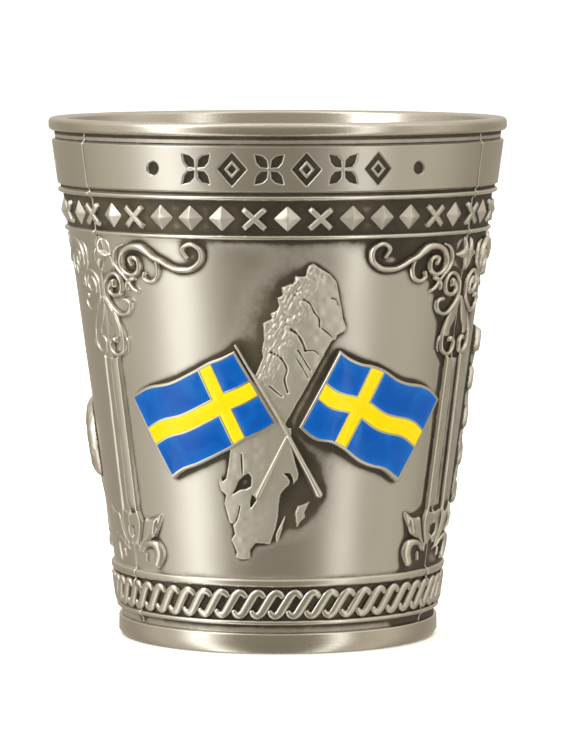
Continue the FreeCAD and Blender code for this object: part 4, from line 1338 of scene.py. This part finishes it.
def make_band(side):
    """The smooth band under the rim, with its engraved row of ornaments between two dots."""
    turns = np.linspace(-PANEL_HALF, PANEL_HALF, BAND_COLUMNS)
    patch = Patch(turns, row_heights(BODY_TOP, PANEL_TOP, BAND_ROW), 0.0)
    plain = profile(patch.z)
    carved = Patch(turns, patch.z[:, 0], 0.0)
    for place in (-DOT_PLACE, DOT_PLACE):
        carved.cut(ring(place, BAND_MIDDLE, DOT_RADIUS), 1.0, edge=0.06)
    for index in range(ORNAMENTS):
        across = (index - (ORNAMENTS - 1) / 2) * ORNAMENT_PITCH
        engrave_ornament(carved, across, BAND_MIDDLE, index % 2 == 0)
    depth = np.clip(-carved.rise, 0, 1)
    patch.rise = plain - ENGRAVING_DEPTH * depth
    level = np.zeros(plain.shape)
    # patina in the grooves with painted shadow under the rim bead, and dark filled engraving
    shade = groove_patina_and_shadow(patch.z) + 1.1 * depth
    name = side + "_panel_band"
    return sheet_piece(name, patch, PANEL_TURN[side], PANEL_WALL, level, level, shade)


LEAF = [(0.22, 0.0), (0.75, 0.42), (1.3, 0.4), (1.95, 0.0), (1.3, -0.4), (0.75, -0.42)]
LEAF_SQUEEZE = 0.95
LOZENGE = [(-1.35, 0.0), (0.0, -1.55), (1.35, 0.0), (0.0, 1.55)]


def engrave_ornament(patch, across, height, leafy):
    """A four-leaved rosette, or a lozenge with a small one inside it."""
    if leafy:
        for quarter in range(4):
            angle = math.pi / 4 + quarter * math.pi / 2
            leaf = []
            for along, wide in LEAF:
                x = along * math.cos(angle) - wide * math.sin(angle)
                y = along * math.sin(angle) + wide * math.cos(angle)
                leaf.append((across + x * LEAF_SQUEEZE, height + y))
            patch.cut(leaf, 1.0, edge=0.05)
        return
    outline = np.array([(across + x, height + y) for x, y in LOZENGE])
    where = patch.near(outline, 0.4)
    deep = inside_distance(patch.u[where], patch.z[where], outline)
    band = ease(-0.04, 0.04, deep) * ease(0.5, 0.42, deep)
    patch.rise[where] -= band
    patch.cut([(across + x * 0.3, height + y * 0.3) for x, y in LOZENGE], 1.0, edge=0.05)


# ---------------------------------------------------------------- the flags

FLAG_RISE = 0.65
FLAG_BACK = -0.15
ENAMEL_DEPTH = 0.3
CELL_WALL = 0.2
OUTER_WALL = 0.3
CROSS_START = 5 / 16
CROSS_END = 7 / 16
CROSS_LOW = 0.4
CROSS_HIGH = 0.6


class Flag:
    """A waving flag: along runs from the pole to the fly, up from the lower edge."""

    def __init__(self, top, bottom):
        self.top = smooth_line(top, steps=12)
        self.bottom = smooth_line(bottom, steps=12)
        self.long = math.dist(top[0], top[-1])
        self.high = math.dist(top[0], bottom[0])

    def at(self, along, up):
        """Place on the panel of a place on the flag, for arrays of any shape."""
        ends = []
        for edge in (self.bottom, self.top):
            knots = np.linspace(0, 1, len(edge))
            ends.append([np.interp(along, knots, edge[:, axis]) for axis in (0, 1)])
        low, high = ends
        return low[0] + (high[0] - low[0]) * up, low[1] + (high[1] - low[1]) * up

    def outline(self):
        """The flag's edge as points on the panel."""
        share = np.arange(8) / 8
        none, full = np.zeros(8), np.ones(8)
        sides = [(share, none), (full, share), (1 - share, full), (none, 1 - share)]
        return [point for along, up in sides for point in zip(*self.at(along, up))]

    def ripple(self, along, up):
        return 0.1 * np.sin(2 * math.pi * (along * 1.15 + 0.12 * up) + 0.6)


FLAGS = {"left": Flag(LEFT_FLAG_TOP, LEFT_FLAG_BOTTOM), "right": Flag(RIGHT_FLAG_TOP, RIGHT_FLAG_BOTTOM)}


def wrap(u, z, rise):
    """Places on the front panel as points in space."""
    return in_space(cone(z) + rise, u / cone(z), z)


def closed_plate(name, top, bottom, keep):
    """A closed shell from grids whose columns may run to the left."""
    if top[0, -1, 0] < top[0, 0, 0]:
        top, bottom, keep = top[:, ::-1], bottom[:, ::-1], keep[:, ::-1]
    return closed_shell(name, top, bottom, keep)


def grid_lines(length, marks, coarse, fine, reach):
    """Places along a side, close together near the marks; all as shares of the side."""
    places = list(np.arange(0, 1, coarse / length)) + [1.0]
    for mark in marks:
        for step in np.arange(-reach, reach + 1e-9, fine):
            places.append(mark + step / length)
    return np.unique(np.round([place for place in places if 0 <= place <= 1], 6))


def wall_distance(flag, along, up):
    """Distance to the middle of the nearest metal wall, in millimetres."""
    half = CELL_WALL / 2
    a = along * flag.long
    b = up * flag.high
    outer = OUTER_WALL - half
    distance = np.maximum(np.minimum(np.minimum(a, flag.long - a), np.minimum(b, flag.high - b)) - outer, 0)
    in_cross_bar = (up > CROSS_LOW) & (up < CROSS_HIGH)
    in_cross_post = (along > CROSS_START) & (along < CROSS_END)
    for mark in (CROSS_START, CROSS_END):
        beside = np.abs(a - mark * flag.long)
        distance = np.where(in_cross_bar, distance, np.minimum(distance, beside))
    for mark in (CROSS_LOW, CROSS_HIGH):
        above = np.abs(b - mark * flag.high)
        distance = np.where(in_cross_post, distance, np.minimum(distance, above))
    corner = 99.0
    for mark in (CROSS_START, CROSS_END):
        for level in (CROSS_LOW, CROSS_HIGH):
            corner = np.minimum(corner, np.hypot(a - mark * flag.long, b - level * flag.high))
    return np.minimum(distance, corner)


def make_flag_frame(side):
    """The flag's rim and cell walls with their pockets, on a slightly rippled plate."""
    flag = FLAGS[side]
    along = grid_lines(flag.long, (0, CROSS_START, CROSS_END, 1), 0.2, 0.04, 0.4)
    up = grid_lines(flag.high, (0, CROSS_LOW, CROSS_HIGH, 1), 0.2, 0.04, 0.4)
    x, y = np.meshgrid(along, up)
    pocket = ease(CELL_WALL / 2 - 0.03, CELL_WALL / 2 + 0.05, wall_distance(flag, x, y))
    rise = FLAG_RISE + flag.ripple(x, y) - ENAMEL_DEPTH * pocket
    edge = np.minimum(np.minimum(x, 1 - x) * flag.long, np.minimum(y, 1 - y) * flag.high)
    rise -= 0.14 * ease(0.1, 0.0, edge)
    u, z = flag.at(x, y)
    keep = np.ones((len(up) - 1, len(along) - 1), bool)
    piece = closed_plate(side + "_flag_frame", wrap(u, z, rise), wrap(u, z, FLAG_BACK), keep)[0]
    piece.data.set_sharp_from_angle(angle=math.radians(50))
    paint_patina(piece, -0.05)
    return piece


# each blue cell's start and end along the flag, and its bottom and top
CELLS = {
    "blue_lower_inner": (0, CROSS_START, 0, CROSS_LOW),
    "blue_lower_outer": (CROSS_END, 1, 0, CROSS_LOW),
    "blue_upper_inner": (0, CROSS_START, CROSS_HIGH, 1),
    "blue_upper_outer": (CROSS_END, 1, CROSS_HIGH, 1),
}


def make_enamel(side, cell):
    """One pool of enamel: nearly level with its walls, a little crowned between them."""
    flag = FLAGS[side]
    inset = CELL_WALL / 2 - 0.015
    if cell == "yellow_cross":
        marks_along = (0, CROSS_START, CROSS_END, 1)
        marks_up = (0, CROSS_LOW, CROSS_HIGH, 1)
    else:
        marks_along = CELLS[cell][:2]
        marks_up = CELLS[cell][2:]
    along = grid_lines(flag.long, marks_along, 0.16, 0.05, 0.4)
    up = grid_lines(flag.high, marks_up, 0.16, 0.05, 0.4)
    x, y = np.meshgrid(along, up)
    middle_x = (x[:-1, :-1] + x[1:, 1:]) / 2
    middle_y = (y[:-1, :-1] + y[1:, 1:]) / 2
    keep = wall_distance(flag, middle_x, middle_y) > inset
    if cell == "yellow_cross":
        post = (middle_x > CROSS_START) & (middle_x < CROSS_END)
        bar = (middle_y > CROSS_LOW) & (middle_y < CROSS_HIGH)
        keep &= post | bar
    else:
        first, last, low, high = CELLS[cell]
        keep &= (middle_x > first) & (middle_x < last) & (middle_y > low) & (middle_y < high)
    away = wall_distance(flag, x, y) - inset
    crown = 0.02 + 0.1 * (1 - np.exp(-np.clip(away, 0, None) / 0.45))
    rise = FLAG_RISE + flag.ripple(x, y) - 0.05 + crown
    floor = FLAG_RISE + flag.ripple(x, y) - ENAMEL_DEPTH - 0.02
    u, z = flag.at(x, y)
    name = side + "_flag_" + cell + "_enamel"
    piece, used = closed_plate(name, wrap(u, z, rise), wrap(u, z, floor), keep)
    rim = np.exp(-np.clip(away, 0, None) / 0.22)
    if u[0, -1] < u[0, 0]:
        rim = rim[:, ::-1]
    both = np.concatenate([rim.ravel(), np.ones(rim.size)])
    paint(piece, "rim", both[used])
    piece.data.set_sharp_from_angle(angle=math.radians(60))
    return piece


# ---------------------------------------------------------------- solder and cup


SOLDER_THICKNESS = 0.00011
SOLDER_WANDER = 0.0002
SOLDER_STEP = 0.2
SOLDER_SINK = 0.03
SOLDER_FIELD_SINK = 0.07


def solder_tree():
    """Geometry nodes: a wandering bead of solder along a line of points; sizes in metres."""
    tree, given, result = new_group(
        "solder_bead", "GeometryNodeTree",
        [("Path", "Geometry", None), ("Thickness", "Float", 0.0003), ("Wander", "Float", 0.0001),
         ("Seed", "Float", 1.0), ("Finish", "Material", None)],
        [("Geometry", "Geometry")],
    )
    line = add_node(tree, "GeometryNodeMeshToCurve", {"Mesh": given["Path"]})
    place = add_node(tree, "GeometryNodeInputPosition").outputs[0]
    fields = []
    for scale, detail in ((260.0, 2.0), (900.0, 1.0)):
        parts = {"Vector": place, "W": given["Seed"], "Scale": scale, "Detail": detail}
        fields.append(add_node(tree, "ShaderNodeTexNoise", parts, noise_dimensions="4D").outputs)
    drift, lumps = fields
    parts = {0: drift["Color"], 1: (0.5, 0.5, 0.5)}
    centred = add_node(tree, "ShaderNodeVectorMath", parts, operation="SUBTRACT").outputs[0]
    parts = {0: centred, "Scale": given["Wander"]}
    shift = add_node(tree, "ShaderNodeVectorMath", parts, operation="SCALE").outputs[0]
    moved = add_node(tree, "GeometryNodeSetPosition", {"Geometry": line.outputs[0], "Offset": shift})
    parts = {"Resolution": 10, "Radius": given["Thickness"]}
    section = add_node(tree, "GeometryNodeCurvePrimitiveCircle", parts)
    bead = add_node(tree, "GeometryNodeCurveToMesh", {
        "Curve": moved.outputs[0],
        "Profile Curve": section.outputs[0],
        "Scale": plus_product(tree, lumps["Fac"], 0.6, 0.7),
        "Fill Caps": True,
    })
    smooth = add_node(tree, "GeometryNodeSetShadeSmooth", {"Geometry": bead.outputs[0]})
    finish_tree(tree, smooth, given, result)
    return tree


def make_seam(name, turn, whole, tree, seed):
    """Solder up one joint between two castings, over whatever stands at their edges."""
    heights = np.arange(PANEL_BOTTOM + 0.1, PANEL_TOP - 0.05, SOLDER_STEP)
    standing = read_raster(whole.rise, whole, np.full(heights.shape, PANEL_HALF), heights)
    standing = np.where(heights < BODY_TOP, standing, profile(heights))
    in_field = ease(7.2, 8.2, heights) * ease(39.4, 38.6, heights)
    radius = cone(heights) + standing - SOLDER_SINK - SOLDER_FIELD_SINK * in_field
    source = loose_points(name + "_path", in_space(radius, turn, heights), joined=True)
    seam = made_by_nodes(name, source, tree, Thickness=SOLDER_THICKNESS, Wander=SOLDER_WANDER,
                         Seed=seed, Finish=solder_pewter)
    paint_patina(seam, 0.0)
    return seam


def corner_arc(middle, radius, start, end, steps):
    """Points of a quarter round in a turned outline; angles in degrees."""
    angles = [math.radians(start + (end - start) * index / steps) for index in range(steps + 1)]
    across, height = middle
    return [(across + radius * math.cos(angle), height + radius * math.sin(angle)) for angle in angles]


def make_cup():
    """The turned cup: hollow foot, foot ring, wall behind the panels, rim bead, lip and bowl."""
    inside = PANEL_WALL + CUP_WALL
    bowl_foot = cone(FLOOR_TOP) - inside
    lip = cone(HEIGHT) - inside
    outline = [(0.0, HOLLOW_DEPTH), (6.0, HOLLOW_DEPTH), (HOLLOW_RADIUS - 0.9, HOLLOW_DEPTH)]
    outline += corner_arc((HOLLOW_RADIUS - 0.9, HOLLOW_DEPTH - 0.3), 0.3, 90, 45, 3)
    outline.append((HOLLOW_RADIUS - 0.1, 0.1))
    outline += corner_arc((HOLLOW_RADIUS + 0.2, 0.25), 0.25, 200, 270, 4)
    outline += corner_arc((FOOT_BASE_RADIUS - 0.25, 0.25), 0.25, 270, 350, 5)
    outline += [(FOOT_RADIUS, 0.55), (FOOT_RADIUS, 1.2), (FOOT_RADIUS - 0.02, 1.8)]
    outline += corner_arc((FOOT_RADIUS - 0.2, 1.8), 0.2, 0, 90, 5)
    outline += [(cone(height) - PANEL_WALL, height) for height in (2.0, PANEL_TOP)]
    outline.append((RIM_RADIUS - 0.45, PANEL_TOP))
    outline += corner_arc((RIM_RADIUS - 0.42, PANEL_TOP + 0.42), 0.42, -90, 0, 7)
    outline += corner_arc((RIM_RADIUS - 0.45, HEIGHT - 0.45), 0.45, 0, 90, 7)
    outline += [(RIM_RADIUS - 0.9, HEIGHT), (lip + 0.55, HEIGHT - 0.06)]
    outline += corner_arc((lip + 0.3, HEIGHT - 0.36), 0.3, 90, 180, 6)
    for share in np.linspace(0.06, 0.94, 30):
        height = HEIGHT + (FLOOR_TOP + 1.2 - HEIGHT) * share
        outline.append((cone(height) - inside, height))
    outline += corner_arc((bowl_foot - 1.1, FLOOR_TOP + 1.2), 1.2, -8, -90, 8)
    outline += [(radius, FLOOR_TOP) for radius in (9.0, 6.0, 3.0, 0.0)]
    return turned_piece("turned_cup", outline, CUP_SIDES)


CUP_SIDES = 256
# nearer points of a turned outline are taken as one
SAME_POINT = 0.002


def turned_piece(name, outline, around):
    """A closed turned shape; an outline's first and last points lie on the axis."""
    outline = np.array(outline, float)
    steps = np.linalg.norm(np.diff(outline, axis=0), axis=1)
    outline = outline[np.concatenate([[True], steps > SAME_POINT])]
    body = outline[1:-1]
    angles = 2 * math.pi * np.arange(around) / around
    heights = np.repeat(body[:, 1:], around, axis=1)
    ring_points = in_space(body[:, :1], angles, heights).reshape(-1, 3)
    poles = np.array([(0.0, 0.0, outline[0, 1]), (0.0, 0.0, outline[-1, 1])])
    index = np.arange(len(body) * around).reshape(len(body), around)
    after = np.roll(index, -1, axis=1)
    walls = np.stack([index[:-1], after[:-1], after[1:], index[1:]], axis=-1).reshape(-1, 4)
    low_pole = len(ring_points)
    below = np.stack([np.full(around, low_pole), after[0], index[0]], axis=-1)
    above = np.stack([np.full(around, low_pole + 1), index[-1], after[-1]], axis=-1)
    piece = new_mesh(name, np.vstack([ring_points, poles]), [walls, below, above])
    piece.data.set_sharp_from_angle(angle=math.radians(40))
    paint(piece, "recess", 0.0)
    return piece


# ---------------------------------------------------------------- putting the glass together

# how much of its height the left panel's border keeps beside the front panel
LEFT_PANEL_WEAR = 0.22
# strength of the patina and added grime, by panel and side of it
BORDER_GRIME = {
    ("left", 1): (0.12, 0.0),
    ("front", -1): (0.6, 0.0),
    ("front", 1): (1.5, 0.62),
    ("right", -1): (1.5, 0.92),
}
BORDER_INNER_EDGE = math.radians(20.5)
BORDER_STEP = {"front": 0.065, "left": 0.085, "right": 0.085}
# each panel's picture: name, modeller, edges (left, right, bottom, top), step, added grime
MOTIFS = {
    "front": ("map", add_map, (-6.7, 6.1, 8.6, 37.4), 0.075, 0.0),
    "left": ("elk", add_elk, (-15.0, 13.5, 7.6, 35.0), 0.1, 0.0),
    "right": ("arms", add_arms, (-12.5, 12.5, 11.5, 36.0), 0.1, 0.85),
}
POLE_COLUMNS = 150
POLE_STEP = 0.075


def make_border(side, hand):
    """One side's scrolls, crest, pilaster and lily as raised metal."""
    step = BORDER_STEP[side]
    low, high = sorted((hand * BORDER_INNER_EDGE, hand * PANEL_HALF))
    turns = np.linspace(low, high, int((high - low) * cone(24) / step))
    patch = Patch(turns, np.arange(7.1, 39.35, step), SUNK_GROUND)
    add_border(patch, hand, LEFT_PANEL_WEAR if (side, hand) == ("left", 1) else 1.0)
    name = "%s_panel_%s_border" % (side, "left" if hand < 0 else "right")
    return relief_piece(name, patch, PANEL_TURN[side], *BORDER_GRIME.get((side, hand), (1.0, 0.0)))


def make_motif(side):
    """The picture in a panel's middle, without the flags."""
    name, add_picture, (left, right, bottom, top), step, dull = MOTIFS[side]
    turns = np.linspace(left / cone(20), right / cone(20), int((right - left) / step))
    patch = Patch(turns, np.arange(bottom, top, step), SUNK_GROUND)
    add_picture(patch)
    return relief_piece("%s_panel_%s" % (side, name), patch, PANEL_TURN[side], dull=dull)


def make_poles():
    turns = np.linspace(-5.4 / cone(22), 5.6 / cone(22), POLE_COLUMNS)
    patch = Patch(turns, np.arange(14.8, 29.9, POLE_STEP), SUNK_GROUND)
    add_poles(patch)
    return relief_piece("front_panel_flag_poles", patch, 0.0)


surveys = {}
for side in PANEL_TURN:
    node = side + "_panel"
    surveys[side] = survey(side)
    finish_piece(make_panel_body(side, surveys[side]), cast_pewter, "cast_metal", node)
    finish_piece(make_band(side), cast_pewter, "cast_metal", node)
    for hand in (-1, 1):
        finish_piece(make_border(side, hand), relief_pewter, "cast_metal", node)
    finish = sandy_pewter if side == "front" else relief_pewter
    finish_piece(make_motif(side), finish, "cast_metal", node)

enamels = {"yellow_enamel": yellow_enamel, "blue_enamel": blue_enamel}
finish_piece(make_poles(), relief_pewter, "cast_metal", "front_panel")
for side in FLAGS:
    finish_piece(make_flag_frame(side), relief_pewter, "cast_metal", "front_panel")
    for cell in list(CELLS) + ["yellow_cross"]:
        slot = "yellow_enamel" if cell == "yellow_cross" else "blue_enamel"
        finish_piece(make_enamel(side, cell), enamels[slot], slot, "enamel_%s_%s" % (side, cell))

scatter = scatter_tree()
stud_numbers = range(3 * STUDS_PER_PANEL)
plain_turns = [stud_turn(index) for index in stud_numbers if not is_crossed(index)]
crossed_turns = [stud_turn(index) for index in stud_numbers if is_crossed(index)]
link_turns = [link_turn(index) for index in range(3 * LINKS_PER_PANEL)]
for name, shape, turns, height, finish in (
    ("pointed_studs", pointed_stud(), plain_turns, STUD_MIDDLE, stud_pewter),
    ("crossed_studs", crossed_stud(), crossed_turns, STUD_MIDDLE, stud_pewter),
    ("rope_links", rope_link(), link_turns, ROPE_MIDDLE, relief_pewter),
):
    places = ring_of_places(name + "_places", turns, height)
    ornaments = made_by_nodes(name, places, scatter, Shape=shape, Size=1.0, Finish=finish)
    bpy.data.objects.remove(shape)
    finish_piece(ornaments, finish, "cast_metal")

solder = solder_tree()
seams = (("left", -THIRD, "front"), ("right", THIRD, "front"), ("rear", 3 * THIRD, "left"))
for seed, (name, turn, side) in enumerate(seams):
    bead = make_seam("solder_bead_" + name, turn, surveys[side], solder, float(seed))
    finish_piece(bead, solder_pewter, "solder", "solder_seam_" + name)

finish_piece(make_cup(), turned_pewter, "turned_metal", "inner_cup")


# ---------------------------------------------------------------- floor, light and camera


def plain_surface_material():
    material, _, surface = new_material("pale_floor")
    surface.inputs["Base Color"].default_value = (0.93, 0.93, 0.93, 1)
    surface.inputs["Roughness"].default_value = 0.9
    return material


# sizes of the floor, the lamps and the camera are in metres
FLOOR_RADIUS = 1.2
FLOOR_SIDES = 64
SWEEP_RADIUS = 0.5
WALL_TOP = 2.0


def make_floor():
    """A pale round floor that curves up into a wall far away on every side."""
    path = [(0.001, 0.0), (FLOOR_RADIUS, 0.0)]
    for step in range(1, 11):
        angle = math.radians(9 * step)
        path.append((FLOOR_RADIUS + SWEEP_RADIUS * math.sin(angle), SWEEP_RADIUS * (1 - math.cos(angle))))
    path.append((FLOOR_RADIUS + SWEEP_RADIUS, WALL_TOP))
    points = []
    faces = []
    for row, (radius, height) in enumerate(path):
        for step in range(FLOOR_SIDES):
            angle = 2 * math.pi * step / FLOOR_SIDES
            points.append((radius * math.cos(angle), radius * math.sin(angle), height))
            if row:
                here, after = row * FLOOR_SIDES + step, row * FLOOR_SIDES + (step + 1) % FLOOR_SIDES
                faces.append((here - FLOOR_SIDES, here, after, after - FLOOR_SIDES))
    mesh = bpy.data.meshes.new("studio_floor")
    mesh.from_pydata(points, [], faces)
    mesh.polygons.foreach_set("use_smooth", [True] * len(faces))
    mesh.materials.append(plain_surface_material())
    return new_object("studio_floor", mesh)


def aimed(piece, place, target):
    """Put a lamp or a camera at a place, pointing at a target."""
    piece.location = place
    piece.rotation_euler = (target - place).to_track_quat("-Z", "Y").to_euler()
    return piece


def soft_box(name, place, target, width, height, power):
    light = bpy.data.lights.new(name, "AREA")
    light.shape = "RECTANGLE"
    light.size = width
    light.size_y = height
    light.energy = power
    return aimed(new_object(name, light), Vector(place), Vector(target))


VIEW_TURN = math.radians(-2.6)
VIEW_TILT = math.radians(5.03)
VIEW_DISTANCE = 0.43
AIM_HEIGHT = 0.025
AIM_SHIFT = 0.0006
LENS_MM = 213.3
SENSOR_MM = 36
OVERHEAD_POWER = 9.0
KEY_POWER = 0.8

ROOM_LEVEL = 0.27
ROOM_TINT = (1.0, 0.89, 0.7, 1)
FULL_GLOW = 1.3
GLOW_TINT = (1.0, 0.995, 0.975, 1)
CEILING_LEVEL = 0.55
# where each glow is centred, its width, both in degrees, and its strength
GLOWS = [(-58, 12, 2.0), (45, 5.5, 2.0), (84, 26, 0.4), (-94, 24, 0.34), (180, 50, 0.25)]


def studio_world():
    """A soft room with a wide glow on one side of the camera and a narrow one on the other."""
    world = bpy.data.worlds.new("soft_studio")
    world.use_nodes = True
    tree = world.node_tree
    facing = add_node(tree, "ShaderNodeTexCoord").outputs["Generated"]
    turn, split = turn_round_axis(tree, facing)
    total = plus_product(tree, arithmetic(tree, "MAXIMUM", split["Z"], 0.0), CEILING_LEVEL, ROOM_LEVEL)
    for centre, width, strength in GLOWS:
        away = arithmetic(tree, "SUBTRACT", turn, VIEW_TURN + math.radians(centre))
        away = arithmetic(tree, "WRAP", away, math.pi, -math.pi)
        share = arithmetic(tree, "DIVIDE", away, math.radians(width))
        falling = product(tree, product(tree, share, share), -1.0)
        total = plus_product(tree, arithmetic(tree, "EXPONENT", falling), strength, total)
    tint = blend_colour(tree, remap(tree, total, ROOM_LEVEL, FULL_GLOW), ROOM_TINT, GLOW_TINT)
    set_inputs(tree, tree.nodes["Background"], {"Color": tint, "Strength": total})
    return world


floor = make_floor()
floor.visible_glossy = False
floor.visible_shadow = False
bpy.context.scene.world = studio_world()
bpy.context.scene.view_settings.view_transform = "Standard"


def around(turn, distance, height):
    """A place at a turn round the glass, measured from the camera's side."""
    angle = VIEW_TURN + math.radians(turn)
    return (distance * math.sin(angle), -distance * math.cos(angle), height)


overhead = soft_box("overhead_softbox", (0.0, 0.05, 0.75), (0, 0, 0), 0.9, 0.9, OVERHEAD_POWER)
overhead.visible_glossy = False
soft_box("key_softbox", around(-58, 0.5, 0.3), (0, 0, AIM_HEIGHT), 0.2, 0.3, KEY_POWER)

camera_data = bpy.data.cameras.new("camera")
camera_data.lens = LENS_MM
camera_data.sensor_width = SENSOR_MM
camera_data.dof.use_dof = False
to_right = Vector((math.cos(VIEW_TURN), math.sin(VIEW_TURN), 0)) * AIM_SHIFT
aim = Vector((0, 0, AIM_HEIGHT)) + to_right
away = Vector(around(0.0, VIEW_DISTANCE * math.cos(VIEW_TILT), VIEW_DISTANCE * math.sin(VIEW_TILT)))
camera = aimed(new_object("camera", camera_data), aim + away, aim)
bpy.context.scene.camera = camera
